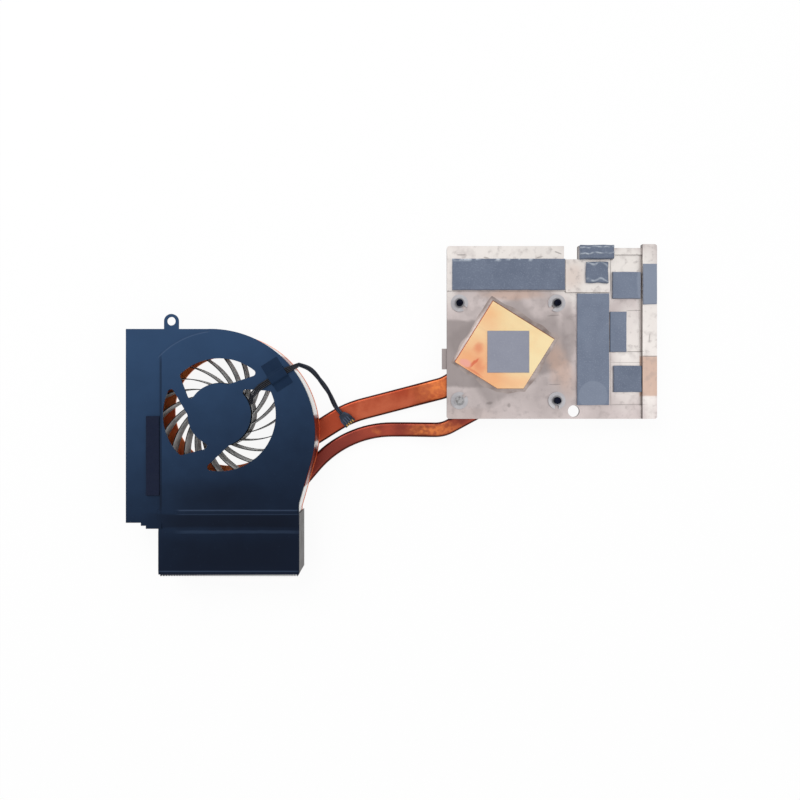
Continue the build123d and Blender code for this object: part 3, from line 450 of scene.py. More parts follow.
class Painter:
    """Builds one material, with its shader and short calls for the nodes that feed it."""

    # A mix node has inputs and outputs for each kind of value. These are the ones for colours.
    MIX_BASE = 6
    MIX_OVER = 7
    MIX_RESULT = 2

    def __init__(self, name: str, roughness: float, metallic: float = 0.0, specular: float = 0.5) -> None:
        """Start a material with one Principled shader.

        Args:
            name: The material's name.
            roughness: The shader's plain roughness.
            metallic: The shader's plain metallic value.
            specular: The strength of a plastic's or paint's gloss.
        """
        self.material = bpy.data.materials.new(name)
        self.material.use_nodes = True
        self.tree = self.material.node_tree
        self.shader = next(n for n in self.tree.nodes if n.type == "BSDF_PRINCIPLED")
        self.shader.inputs["Roughness"].default_value = roughness
        self.shader.inputs["Metallic"].default_value = metallic
        self.shader.inputs["Specular IOR Level"].default_value = specular
        self.place = self.tree.nodes.new("ShaderNodeTexCoord").outputs["Object"]

    def effect(self, effect: Effect, **inputs: Value) -> Socket:
        """Place a shared effect.

        Args:
            effect: The effect.
            inputs: Values or sockets for its inputs, by lower-case name.

        Returns:
            The effect's mask.
        """
        node = self.tree.nodes.new("ShaderNodeGroup")
        node.node_tree = EFFECTS.get(effect)
        if "Vector" in node.inputs:
            self.tree.links.new(self.place, node.inputs["Vector"])
        for name, value in inputs.items():
            feed(self.tree, node.inputs[name.capitalize()], value)
        return node.outputs["Mask"]

    def mix(self, mask: Socket, base: Value, over: Value) -> Socket:
        """Lay one colour over another through a mask.

        Args:
            mask: Where the second colour shows.
            base: The colour where the mask is 0.
            over: The colour where the mask is 1.

        Returns:
            The mixed colour.
        """
        node = self.tree.nodes.new("ShaderNodeMix")
        node.data_type = "RGBA"
        self.tree.links.new(mask, node.inputs["Factor"])
        feed(self.tree, node.inputs[self.MIX_BASE], base)
        feed(self.tree, node.inputs[self.MIX_OVER], over)
        return node.outputs[self.MIX_RESULT]

    def spotted(self, spots: Iterable["PatchSpot"], base: Value, over: Value) -> Value:
        """Lay one colour over another in several places.

        Args:
            spots: The places.
            base: The colour elsewhere.
            over: The colour at the places.

        Returns:
            The mixed colour.
        """
        for spot in spots:
            base = self.mix(spot.mask(self), base, over)
        return base

    def scaled(self, mask: Socket, low: float, high: float) -> Socket:
        """Turn a mask from 0 to 1 into a value between two limits."""
        return map_range(self.tree, mask, {"To Min": low, "To Max": high}, smooth=False)

    def joined(self, first: Socket, second: Socket) -> Socket:
        """Multiply two masks."""
        return math_node(self.tree, SCALAR_MATH, "MULTIPLY", first, second)

    def attribute(self, name: str) -> Socket:
        """Read a value that the piece stores on its points.

        Args:
            name: The value's name.

        Returns:
            The value.
        """
        node = self.tree.nodes.new("ShaderNodeAttribute")
        node.attribute_name = name
        return node.outputs["Fac"]

    def colour(self, value: Value) -> None:
        """Set or link the base colour."""
        feed(self.tree, self.shader.inputs["Base Color"], value)

    def roughness(self, value: Socket) -> None:
        """Link the roughness."""
        feed(self.tree, self.shader.inputs["Roughness"], value)

    def metallic(self, value: Socket) -> None:
        """Link the metallic value."""
        feed(self.tree, self.shader.inputs["Metallic"], value)

    def bump(self, height: Socket, depth_mm: float, strength: float) -> None:
        """Raise the surface by a height, and stack it on any bump that is there.

        Args:
            height: The height, from 0 to 1.
            depth_mm: How deep a full step is, in millimetres.
            strength: How strongly it shows.
        """
        node = self.tree.nodes.new("ShaderNodeBump")
        node.inputs["Strength"].default_value = strength
        node.inputs["Distance"].default_value = depth_mm * MM
        self.tree.links.new(height, node.inputs["Height"])
        normal = self.shader.inputs["Normal"]
        if normal.is_linked:
            self.tree.links.new(normal.links[0].from_socket, node.inputs["Normal"])
        self.tree.links.new(node.outputs["Normal"], normal)


# Finishes


@dataclass(frozen=True)
class PatchSpot:
    """One place on a piece where its colour differs.

    The centre is in the frame, the half sizes are in millimetres and the turn is in degrees. A soft value
    near 0 gives a sharp edge.
    """

    centre: Vector
    size_mm: Span
    strength: float
    turn: float = 0.0
    soft: float = 0.4
    ragged_mm: float = 3.0
    square: bool = False

    def mask(self, painter: Painter) -> Socket:
        """Place the patch in a material.

        Args:
            painter: The material's painter.

        Returns:
            The patch's mask, already at its strength.
        """
        size = (self.size_mm[0] * MM, self.size_mm[1] * MM, 1.0)
        centre = (self.centre.x, self.centre.y, self.centre.z)
        raw = painter.effect(Effect.PATCH, centre=centre, size=size, turn=math.radians(self.turn),
                             soft=self.soft, ragged=self.ragged_mm * MM, square=float(self.square))
        return painter.scaled(raw, 0.0, self.strength)


@dataclass(frozen=True)
class CoverPaint:
    """Satin dark blue coating of the blower's sheet cover, with painted light: lighter towards the top left,
    painted highlights along its creases and round its raised corner, painted shadows, and a few worn pale specks.
    """

    name: str = "cover_paint"
    # The deep and pale tones are the shaded and lit ends of a painted light fall-off across the cover.
    deep: Colour = paint_chip(12, 23, 41)
    pale: Colour = paint_chip(45, 71, 104)
    # Pale blue of the painted highlights on the creases and the raised corner, and of the worn specks.
    worn_and_highlight: Colour = paint_chip(78, 98, 128)
    shade: Colour = paint_chip(8, 12, 24)
    rough: float = 0.42
    rough_span: Span = (0.36, 0.5)
    gloss: float = 0.09
    corner_radius_mm: float = 39.0
    corner_width_mm: float = 0.5
    corner: PatchSpot = PatchSpot(at_fan(-16.5, 34.0), (11.5, 8.0), 0.55, 0.0, 0.1, 1.0, True)
    # Painted highlights: thin pale lines along the stamped creases and the bead, where their slopes catch the
    # light.
    crease_highlights: tuple[PatchSpot, ...] = (
        PatchSpot(at_fan(9.0, -44.4), (28.0, 0.3), 0.24, 0.0, 0.08, 0.2, True),
        PatchSpot(at_fan(9.0, -46.3), (28.0, 0.25), 0.18, 0.0, 0.08, 0.2, True),
        PatchSpot(at_fan(9.0, -54.6), (28.0, 0.7), 0.13, 0.0, 0.15, 0.6, True),
        PatchSpot(at_fan(4.0, -73.0), (33.0, 0.3), 0.28, 0.0, 0.08, 0.2, True),
    )
    shadows: tuple[PatchSpot, ...] = (
        PatchSpot(at_fan(-27.2, -9.0), (0.5, 36.0), 0.5, 0.0, 0.1, 0.2, True),
        PatchSpot(at_fan(4.5, -49.5), (32.0, 3.0), 0.55, 0.0, 0.35, 0.6, True),
        PatchSpot(at_fan(4.5, -65.0), (32.0, 7.0), 0.3, 0.0, 0.5, 1.5, True),
        PatchSpot(at_fan(-2.0, -38.0), (20.0, 6.0), 0.45, 0.0, 0.9, 3.0),
    )

    def paint(self) -> bpy.types.Material:
        """Make the material.

        Returns:
            The material.
        """
        painter = Painter(self.name, self.rough, specular=self.gloss)
        # Painted light: the cover goes from the deep tone at the bottom to the pale tone at the top left.
        light_falloff = painter.effect(Effect.BAND, along=(-0.35, 1.0, 0.0), low=-0.05, high=0.085, ragged=0.02)
        cloud = painter.effect(Effect.MOTTLE, scale=45.0, low=0.2, high=0.9)
        base = painter.mix(painter.joined(light_falloff, painter.scaled(cloud, 0.8, 1.0)), self.deep, self.pale)
        base = painter.spotted(self.shadows, base, self.shade)
        # Painted highlight: a thin pale arc along the edge of the raised corner.
        ring = painter.effect(Effect.RING, centre=tuple(FAN_AXIS), radius=self.corner_radius_mm * MM,
                              width=self.corner_width_mm * MM)
        base = painter.mix(painter.joined(ring, self.corner.mask(painter)), base, self.worn_and_highlight)
        base = painter.spotted(self.crease_highlights, base, self.worn_and_highlight)
        # Worn specks: real wear, in the same pale blue.
        specks = painter.effect(Effect.SPECKLE, scale=420.0, size=0.13)
        painter.colour(painter.mix(painter.scaled(specks, 0.0, 0.12), base, self.worn_and_highlight))
        painter.roughness(painter.scaled(cloud, *self.rough_span))
        peel = painter.effect(Effect.MOTTLE, scale=2600.0, low=0.2, high=0.8)
        painter.bump(peel, depth_mm=0.02, strength=0.35)
        return painter.material


@dataclass(frozen=True)
class SheetCopper:
    """Copper sheet, bare and tarnished outside; the side that lies inside the casing is painted brighter orange
    and less metallic, as painted light that makes up for the shade there.
    """

    name: str = "base_copper"
    # Brightened orange of the inner face, painted light; the two tones vary at random.
    brightened_inner: Colour = paint_chip(255, 142, 78)
    brightened_inner_dark: Colour = paint_chip(232, 92, 48)
    bare: Colour = paint_chip(222, 138, 98)
    tarnish: Colour = paint_chip(178, 96, 64)
    rough: float = 0.34
    rough_span: Span = (0.26, 0.46)

    def paint(self) -> bpy.types.Material:
        """Make the material.

        Returns:
            The material.
        """
        painter = Painter(self.name, self.rough)
        cloud = painter.effect(Effect.MOTTLE, scale=110.0, low=0.3, high=0.72)
        lines = painter.effect(Effect.BRUSHED, turn=0.1)
        # Painted light: faces that point up, inside the casing, get the brightened orange and little metallic
        # gloss.
        inside = painter.effect(Effect.FACING, low=0.4, high=0.6)
        outer = painter.mix(cloud, self.bare, self.tarnish)
        painter.colour(painter.mix(inside, outer, painter.mix(cloud, self.brightened_inner, self.brightened_inner_dark)))
        painter.metallic(painter.scaled(inside, 1.0, 0.1))
        painter.roughness(painter.scaled(lines, *self.rough_span))
        painter.bump(lines, depth_mm=0.01, strength=0.4)
        return painter.material


@dataclass(frozen=True)
class PipeCopper:
    """Heat-tinted copper of the flattened pipes, with painted shade on its round sides and painted highlights near
    its bends.
    """

    name: str
    face: Colour
    shade: Colour
    spots: tuple[PatchSpot, ...]
    dims: tuple[PatchSpot, ...]
    # Dark red painted on the round sides as painted shade.
    side: Colour = paint_chip(72, 25, 18)
    # Bright orange of the painted highlights near the bends.
    bend_highlight: Colour = paint_chip(255, 150, 84)
    rough: float = 0.36
    rough_span: Span = (0.27, 0.5)

    def paint(self) -> bpy.types.Material:
        """Make the material.

        Returns:
            The material.
        """
        painter = Painter(self.name, self.rough, metallic=1.0)
        cloud = painter.effect(Effect.MOTTLE, scale=95.0, low=0.3, high=0.75)
        base = painter.mix(cloud, self.face, self.shade)
        base = painter.spotted(self.dims, base, self.shade)
        grit = painter.scaled(painter.effect(Effect.MOTTLE, scale=520.0, low=0.38, high=0.62), 0.4, 1.0)
        # Painted highlights: bright orange patches near the bends, broken up by a fine mottle.
        for spot in self.spots:
            base = painter.mix(painter.joined(spot.mask(painter), grit), base, self.bend_highlight)
        # Painted shade: faces that don't lie level get the dark side colour.
        top = painter.effect(Effect.LEVEL, low=0.8, high=1.0)
        painter.colour(painter.mix(top, self.side, base))
        lines = painter.effect(Effect.BRUSHED, turn=-0.25, scale=1800.0)
        painter.roughness(painter.scaled(lines, *self.rough_span))
        painter.bump(lines, depth_mm=0.012, strength=0.5)
        dents = painter.effect(Effect.MOTTLE, scale=260.0, low=0.2, high=0.8)
        painter.bump(dents, depth_mm=0.03, strength=0.35)
        return painter.material


@dataclass(frozen=True)
class BlockCopper:
    """Milled copper of the contact block, with handling stains at one corner and painted shade on its sides and
    broken edges.
    """

    name: str = "block_copper"
    face: Colour = paint_chip(255, 234, 186)
    warm: Colour = paint_chip(253, 214, 160)
    # Dark red copper of the sides and broken edges, painted shade.
    edge: Colour = paint_chip(138, 56, 34)
    stain: Colour = paint_chip(226, 104, 78)
    rose: Colour = paint_chip(250, 180, 168)
    glow: Colour = paint_chip(252, 168, 120)
    rough: float = 0.4
    rough_span: Span = (0.3, 0.52)
    tints: tuple[PatchSpot, ...] = (
        PatchSpot(at_plate(-16.0, -6.0), (13.0, 12.0), 0.75, 0.0, 0.9, 6.0),
        PatchSpot(at_plate(2.0, -15.0), (16.0, 4.0), 0.45, 0.0, 0.9, 4.0),
        PatchSpot(at_plate(-11.0, 17.0), (5.0, 9.0), 0.4, -30.0, 0.9, 4.0),
    )
    stains: tuple[PatchSpot, ...] = (
        PatchSpot(at_plate(-16.6, -5.0), (3.2, 0.8), 0.75, -40.0, 0.4, 5.0),
        PatchSpot(at_plate(-14.0, 1.8), (2.2, 1.9), 0.45, 0.0, 0.7, 5.0),
        PatchSpot(at_plate(-14.2, -6.4), (2.4, 3.4), 0.35, 0.0, 0.9, 6.0),
        PatchSpot(at_plate(-16.6, -9.4), (4.6, 0.5), 0.5, 32.0, 0.6, 2.0),
    )
    blush: PatchSpot = PatchSpot(at_plate(-20.6, -5.4), (2.6, 1.7), 0.85, 20.0, 0.35, 1.5)

    def paint(self) -> bpy.types.Material:
        """Make the material.

        Returns:
            The material.
        """
        painter = Painter(self.name, self.rough, metallic=1.0)
        cloud = painter.effect(Effect.MOTTLE, scale=70.0, low=0.3, high=0.75)
        base = painter.mix(cloud, self.face, self.warm)
        base = painter.spotted(self.tints, base, self.glow)
        base = painter.spotted(self.stains, base, self.stain)
        base = painter.spotted((self.blush,), base, self.rose)
        # Painted shade: every face that isn't level, the broken edges too, gets the dark edge colour.
        top = painter.effect(Effect.LEVEL, low=0.94, high=0.99)
        painter.colour(painter.mix(top, self.edge, base))
        lines = painter.effect(Effect.BRUSHED, turn=0.56, scale=2200.0, stretch=0.02)
        painter.roughness(painter.scaled(lines, *self.rough_span))
        painter.bump(lines, depth_mm=0.012, strength=0.5)
        return painter.material


@dataclass(frozen=True)
class PlateMetal:
    """Plated mounting plate: warm grey, with painted bright reflections on its steps, a painted dark reflection
    round the block, brown stains and grime, and painted shade on its step walls and step lines.
    """

    name: str = "plate_metal"
    face: Colour = paint_chip(216, 204, 202)
    pale: Colour = paint_chip(248, 243, 238)
    dull: Colour = paint_chip(153, 143, 142)
    brown: Colour = paint_chip(206, 174, 156)
    # Dark grey of the painted shade on step walls and on painted step lines.
    side: Colour = paint_chip(120, 112, 110)
    rough: float = 0.42
    rough_span: Span = (0.34, 0.56)
    # Scale, low and high thresholds and strength of each layer of grime
    grime: tuple[tuple[float, ...], ...] = ((420.0, 0.56, 0.74, 0.25), (210.0, 0.5, 0.66, 0.22))
    # Painted reflection: pale zones where the plated metal reflects its bright surroundings.
    bright_reflection_spots: tuple[PatchSpot, ...] = (
        PatchSpot(at_plate(4.0, 47.5), (34.0, 6.5), 0.8, 0.0, 0.5, 4.0),
        PatchSpot(at_plate(-27.5, 37.0), (3.5, 14.0), 0.6, 0.0, 0.5, 4.0),
        PatchSpot(at_plate(37.0, 34.0), (14.0, 13.0), 0.8, 0.0, 0.4, 6.0),
        PatchSpot(at_plate(57.0, 43.0), (10.0, 8.0), 0.85, 0.0, 0.3, 4.0),
        PatchSpot(at_plate(67.5, 10.0), (5.0, 44.0), 0.75, 0.0, 0.4, 5.0),
        PatchSpot(at_plate(58.0, 8.0), (7.0, 14.0), 0.6, 0.0, 0.5, 5.0),
        PatchSpot(at_plate(56.5, -10.0), (8.0, 15.0), 0.5, 0.0, 0.5, 5.0),
    )
    # Painted reflection: a dull zone round and beside the block, where the plate reflects something dark.
    dark_reflection_spots: tuple[PatchSpot, ...] = (
        PatchSpot(at_plate(-2.0, 0.5), (20.5, 19.5), 0.6, -32.0, 0.1, 5.0, True),
        PatchSpot(at_plate(-20.0, -1.0), (13.0, 16.0), 0.75, 0.0, 0.06, 3.0, True),
        PatchSpot(at_plate(18.0, 4.0), (10.0, 13.0), 0.6, -20.0, 0.2, 6.0, True),
        PatchSpot(at_plate(20.0, -21.0), (14.0, 9.0), 0.3, 0.0, 0.6, 8.0),
        PatchSpot(at_plate(28.9, 9.0), (3.2, 14.0), 0.5, 0.0, 0.4, 3.0),
    )
    # Painted shade: thin dark lines and small marks for steps and dimples, some of which the mesh doesn't have.
    step_shade_marks: tuple[PatchSpot, ...] = (
        PatchSpot(at_plate(-22.3, 46.3), (1.8, 0.3), 0.5, 0.0, 0.3, 0.8, True),
        PatchSpot(at_plate(-10.3, 44.8), (1.4, 0.4), 0.5, 10.0, 0.4, 1.0),
        PatchSpot(at_plate(14.9, 45.2), (1.6, 0.4), 0.5, -8.0, 0.4, 1.0),
        PatchSpot(at_plate(23.8, 47.2), (1.6, 0.3), 0.5, 20.0, 0.3, 0.8, True),
        PatchSpot(at_plate(21.8, 17.4), (2.6, 0.2), 0.5, -4.0, 0.3, 0.5, True),
        PatchSpot(at_plate(22.4, -15.6), (2.6, 0.2), 0.45, 0.0, 0.3, 0.5, True),
        PatchSpot(at_plate(-8.9, -24.3), (1.5, 0.6), 0.5, 0.0, 0.5, 1.5),
        PatchSpot(at_plate(0.6, -25.6), (0.7, 0.9), 0.45, 0.0, 0.5, 1.2),
        PatchSpot(at_plate(67.3, 6.6), (0.25, 2.2), 0.5, 4.0, 0.4, 0.6),
        PatchSpot(at_plate(67.4, -2.1), (3.6, 0.2), 0.7, 0.0, 0.2, 0.2, True),
        PatchSpot(at_plate(60.5, 19.9), (3.2, 0.16), 0.5, 0.0, 0.3, 0.2, True),
        PatchSpot(at_plate(60.6, 0.2), (3.7, 0.18), 0.65, 0.0, 0.3, 0.2, True),
        PatchSpot(at_plate(56.9, -5.0), (7.4, 0.14), 0.4, 0.0, 0.3, 0.3, True),
        PatchSpot(at_plate(57.2, -25.1), (7.6, 0.16), 0.5, 0.0, 0.3, 0.2, True),
        PatchSpot(at_plate(49.3, -12.5), (0.16, 12.5), 0.45, 0.0, 0.3, 0.2, True),
        PatchSpot(at_plate(49.3, 36.0), (0.18, 7.5), 0.55, 0.0, 0.3, 0.2, True),
    )
    brown_spots: tuple[PatchSpot, ...] = (
        PatchSpot(at_plate(67.5, -11.6), (4.4, 9.5), 0.85, 0.0, 0.06, 0.6, True),
        PatchSpot(at_plate(25.0, -7.0), (5.0, 12.0), 0.6, -20.0, 0.6, 6.0),
        PatchSpot(at_plate(31.0, 36.0), (5.0, 6.0), 0.35, 0.0, 0.7, 5.0),
        PatchSpot(at_plate(-20.0, -30.0), (14.0, 3.0), 0.12, 0.0, 0.6, 4.0),
        PatchSpot(at_plate(2.0, 27.3), (14.0, 2.4), 0.6, 0.0, 0.5, 3.0),
    )

    def paint(self) -> bpy.types.Material:
        """Make the material.

        Returns:
            The material.
        """
        painter = Painter(self.name, self.rough, metallic=1.0)
        cloud = painter.effect(Effect.MOTTLE, scale=85.0, low=0.25, high=0.8)
        base = painter.mix(painter.scaled(cloud, 0.0, 0.4), self.face, self.dull)
        for colour, spots in ((self.pale, self.bright_reflection_spots), (self.dull, self.dark_reflection_spots),
                              (self.brown, self.brown_spots)):
            base = painter.spotted(spots, base, colour)
        for scale, low, high, strength in self.grime:
            layer = painter.effect(Effect.MOTTLE, scale=scale, low=low, high=high)
            base = painter.mix(painter.scaled(layer, 0.0, strength), base, self.dull)
        base = painter.spotted(self.step_shade_marks, base, self.side)
        # Painted shade: the step walls, which don't lie level, get the dark side colour.
        top = painter.effect(Effect.LEVEL, low=0.4, high=0.95)
        painter.colour(painter.mix(top, self.side, base))
        lines = painter.effect(Effect.BRUSHED, turn=1.52, scale=1500.0, stretch=0.05)
        painter.roughness(painter.scaled(lines, *self.rough_span))
        painter.bump(lines, depth_mm=0.012, strength=0.4)
        return painter.material


@dataclass(frozen=True)
class PlainMetal:
    """Bare or plated metal with light brushing and a little tarnish."""

    name: str
    bright: Colour
    tarnish: Colour
    rough: float = 0.32
    turn: float = 0.0
    cover: float = 0.5
    # Copper red of a painted reflection, laid on the metal in given places.
    glow: Colour = paint_chip(122, 38, 22)
    reflection_spots: tuple[PatchSpot, ...] = ()
    smoother: float = 0.08
    rougher: float = 0.12

    def paint(self) -> bpy.types.Material:
        """Make the material.

        Returns:
            The material.
        """
        painter = Painter(self.name, self.rough, metallic=1.0)
        cloud = painter.effect(Effect.MOTTLE, scale=180.0, low=0.3, high=0.75)
        base = painter.mix(painter.scaled(cloud, 0.0, self.cover), self.bright, self.tarnish)
        # Painted reflection: the copper red in its given places.
        painter.colour(painter.spotted(self.reflection_spots, base, self.glow))
        lines = painter.effect(Effect.BRUSHED, turn=self.turn, scale=2600.0, stretch=0.04)
        painter.roughness(painter.scaled(lines, self.rough - self.smoother, self.rough + self.rougher))
        painter.bump(lines, depth_mm=0.008, strength=0.4)
        return painter.material


@dataclass(frozen=True)
class SideLitMoulding:
    """Dark moulding whose upright faces are painted grey, painted light on the lit sides of the blades."""

    name: str = "impeller_plastic"
    top: Colour = paint_chip(12, 13, 16)
    # Grey of the blades' upright faces, painted light, mottled with a darker grey.
    film: Colour = paint_chip(196, 197, 196)
    lit_streak: Colour = paint_chip(140, 141, 142)
    rough: float = 0.5
    rough_span: Span = (0.4, 0.62)
    gloss: float = 0.12

    def paint(self) -> bpy.types.Material:
        """Make the material.

        Returns:
            The material.
        """
        painter = Painter(self.name, self.rough, specular=self.gloss)
        cloud = painter.effect(Effect.MOTTLE, scale=240.0, low=0.3, high=0.75)
        lit_faces = painter.mix(cloud, self.film, self.lit_streak)
        # Painted light: upright faces get the grey, faces that point up keep the dark top.
        upright = painter.effect(Effect.FACING, low=0.75, high=0.35)
        painter.colour(painter.mix(upright, self.top, lit_faces))
        painter.roughness(painter.scaled(cloud, *self.rough_span))
        painter.bump(cloud, depth_mm=0.03, strength=0.3)
        return painter.material


@dataclass(frozen=True)
class DarkPlastic:
    """Dark moulded or extruded plastic with a fine grain."""

    name: str
    base: Colour
    # Pale colour for wear, and for painted highlights where there are any.
    worn_and_highlight: Colour
    rough: float = 0.45
    grain: float = 1500.0
    depth_mm: float = 0.02
    gloss: float = 0.25
    # Places of painted highlights, such as lit ribs on a connector.
    rib_highlights: tuple[PatchSpot, ...] = ()
    smoother: float = 0.06
    rougher: float = 0.1
    cloud_share: float = 6.0

    def paint(self) -> bpy.types.Material:
        """Make the material.

        Returns:
            The material.
        """
        painter = Painter(self.name, self.rough, specular=self.gloss)
        cloud = painter.effect(Effect.MOTTLE, scale=self.grain / self.cloud_share, low=0.35, high=0.8)
        colour = painter.mix(painter.scaled(cloud, 0.0, 0.6), self.base, self.worn_and_highlight)
        painter.colour(painter.spotted(self.rib_highlights, colour, self.worn_and_highlight))
        grain = painter.effect(Effect.MOTTLE, scale=self.grain, low=0.25, high=0.75)
        painter.roughness(painter.scaled(grain, self.rough - self.smoother, self.rough + self.rougher))
        painter.bump(grain, depth_mm=self.depth_mm, strength=0.5)
        return painter.material


@dataclass(frozen=True)
class PadSilicone:
    """Soft filled silicone of the thermal pads: speckled, with chalky crests where it is crumpled."""

    name: str
    base: Colour = paint_chip(104, 114, 133)
    deep: Colour = paint_chip(86, 96, 116)
    light: Colour = paint_chip(132, 141, 158)
    chalk: Colour = paint_chip(188, 196, 206)
    speckled: float = 0.35
    prints: tuple[PatchSpot, ...] = ()
    rough: float = 0.72
    rough_span: Span = (0.78, 0.6)

    def paint(self) -> bpy.types.Material:
        """Make the material.

        Returns:
            The material.
        """
        painter = Painter(self.name, self.rough)
        cloud = painter.effect(Effect.MOTTLE, scale=150.0, low=0.3, high=0.75)
        base = painter.mix(painter.scaled(cloud, 0.0, 0.55), self.base, self.deep)
        fine = painter.effect(Effect.MOTTLE, scale=1500.0, low=0.5, high=0.72)
        base = painter.mix(painter.scaled(fine, 0.0, self.speckled), base, self.light)
        base = painter.spotted(self.prints, base, self.light)
        rub = painter.effect(Effect.MOTTLE, scale=800.0, low=0.3, high=0.6)
        crest = painter.joined(painter.attribute(PadShape.CREST), painter.scaled(rub, 0.35, 1.0))
        painter.colour(painter.mix(crest, base, self.chalk))
        painter.roughness(painter.scaled(fine, *self.rough_span))
        painter.bump(fine, depth_mm=0.05, strength=0.5)
        return painter.material


@dataclass(frozen=True)
class SealFoam:
    """Dark closed-cell foam."""

    name: str = "foam"
    base: Colour = paint_chip(27, 33, 52)
    pore: Colour = paint_chip(20, 24, 40)
    rough: float = 0.9
    rough_span: Span = (0.82, 0.96)
    gloss: float = 0.1

    def paint(self) -> bpy.types.Material:
        """Make the material.

        Returns:
            The material.
        """
        painter = Painter(self.name, self.rough, specular=self.gloss)
        pores = painter.effect(Effect.SPECKLE, scale=1600.0, size=0.45)
        painter.colour(painter.mix(pores, self.base, self.pore))
        cloud = painter.effect(Effect.MOTTLE, scale=300.0, low=0.3, high=0.7)
        painter.roughness(painter.scaled(cloud, *self.rough_span))
        painter.bump(pores, depth_mm=0.03, strength=0.4)
        return painter.material


@dataclass(frozen=True)
class ScrewMetal:
    """Plated screw whose tip has a finish of its own above a height."""

    name: str
    tip: Colour
    tip_worn: Colour
    shaft: Colour = paint_chip(198, 197, 200)
    split_mm: float = 9.3
    split_half_mm: float = 0.05
    rough: float = 0.34
    rough_span: Span = (0.28, 0.46)

    def paint(self) -> bpy.types.Material:
        """Make the material.

        Returns:
            The material.
        """
        painter = Painter(self.name, self.rough, metallic=1.0)
        cloud = painter.effect(Effect.MOTTLE, scale=700.0, low=0.4, high=0.7)
        tip = painter.mix(cloud, self.tip, self.tip_worn)
        split = painter.effect(Effect.BAND, along=tuple(UP), low=(self.split_mm - self.split_half_mm) * MM,
                               high=(self.split_mm + self.split_half_mm) * MM)
        painter.colour(painter.mix(split, self.shaft, tip))
        painter.roughness(painter.scaled(cloud, *self.rough_span))
        return painter.material


# Bench helpers

LEAST_CELLS = 3
LEVEL_TILT = 0.9
UPRIGHT_TILT = 0.1
WELD_MM = 0.001
EDGE_ANGLE = math.radians(35.0)
EDGE_SEGMENTS = 2


def dress(nodes: Iterable[str], material: bpy.types.Material) -> None:
    """Give CAD nodes one material.

    Args:
        nodes: The nodes' names.
        material: Their material.
    """
    for node in nodes:
        slots = frame["nodes"][node].data.materials
        slots.clear()
        slots.append(material)
        LOG.info("dressed %s with %s", node, material.name)


def settle(name: str, bm: bmesh.types.BMesh, material: bpy.types.Material, body: str) -> bpy.types.Object:
    """Turn a finished bmesh into a piece that rides on a body.

    Args:
        name: The piece's name.
        bm: Its mesh, already in the frame. It is freed.
        material: Its material.
        body: The CAD body that it rides on.

    Returns:
        The new object.
    """
    mesh = bpy.data.meshes.new(name)
    bm.to_mesh(mesh)
    bm.free()
    mesh.materials.append(material)
    piece = bpy.data.objects.new(name, mesh)
    bpy.context.scene.collection.objects.link(piece)
    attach(piece, body)
    LOG.info("made %s with %d faces on %s", name, len(mesh.polygons), body)
    return piece


def smoothed(value: float, low: float, high: float) -> float:
    """Step smoothly from 0 at one value to 1 at another.

    Args:
        value: What is measured.
        low: Where the step starts.
        high: Where the step ends.

    Returns:
        The share, from 0 to 1.
    """
    share = min(1.0, max(0.0, (value - low) / (high - low)))
    return share * share * (3.0 - 2.0 * share)


def flat_grid(width: float, length: float, step: float) -> bmesh.types.BMesh:
    """Make a flat grid about the origin.

    Args:
        width: Its size along X.
        length: Its size along Y.
        step: About how far apart its lines are.

    Returns:
        The grid's bmesh.
    """
    bm = bmesh.new()
    across, along = (max(LEAST_CELLS, round(side / step)) for side in (width, length))
    bmesh.ops.create_grid(bm, x_segments=across, y_segments=along, size=1.0)
    reach = max(v.co.x for v in bm.verts)
    bmesh.ops.scale(bm, vec=(width / 2 / reach, length / 2 / reach, 1.0), verts=bm.verts)
    return bm


def thicken(bm: bmesh.types.BMesh, depth: float) -> None:
    """Make a flat grid a closed slab by drawing it down.

    Args:
        bm: The grid, facing up.
        depth: The slab's thickness.
    """
    drawn = bmesh.ops.extrude_face_region(bm, geom=bm.faces[:])
    low = [item for item in drawn["geom"] if isinstance(item, bmesh.types.BMVert)]
    bmesh.ops.translate(bm, vec=(0.0, 0.0, -depth), verts=low)
    bmesh.ops.recalc_face_normals(bm, faces=bm.faces[:])


def rim_edges(bm: bmesh.types.BMesh, upward: bool) -> list[bmesh.types.BMEdge]:
    """Find the edges where a slab's flat side meets its upright sides.

    Args:
        bm: The slab.
        upward: True for the upper rim, False for the lower one.

    Returns:
        The rim's edges.
    """
    sign = 1.0 if upward else -1.0
    bm.normal_update()
    found = []
    for edge in bm.edges:
        tilts = sorted(face.normal.z * sign for face in edge.link_faces)
        if len(tilts) == 2 and tilts[1] > LEVEL_TILT and abs(tilts[0]) < UPRIGHT_TILT:
            found.append(edge)
    return found


def shade_smooth(bm: bmesh.types.BMesh) -> None:
    """Shade every face of a mesh smooth."""
    for face in bm.faces:
        face.smooth = True


def wind(bm: bmesh.types.BMesh, axis: Vector, turns: float, steps: int, lift: float) -> None:
    """Wind a closed profile up round an upright axis and close its two ends.

    Args:
        bm: The mesh that holds the profile and nothing else.
        axis: A point on the axis.
        turns: How many turns it makes.
        steps: In how many steps.
        lift: How far it rises at each step.
    """
    bmesh.ops.spin(bm, geom=[*bm.verts, *bm.edges], cent=(axis.x, axis.y, 0.0), axis=UP,
                   dvec=(0.0, 0.0, lift), angle=2 * math.pi * turns, steps=steps, use_merge=False)
    bmesh.ops.holes_fill(bm, edges=[edge for edge in bm.edges if len(edge.link_faces) == 1])
    bmesh.ops.recalc_face_normals(bm, faces=bm.faces[:])


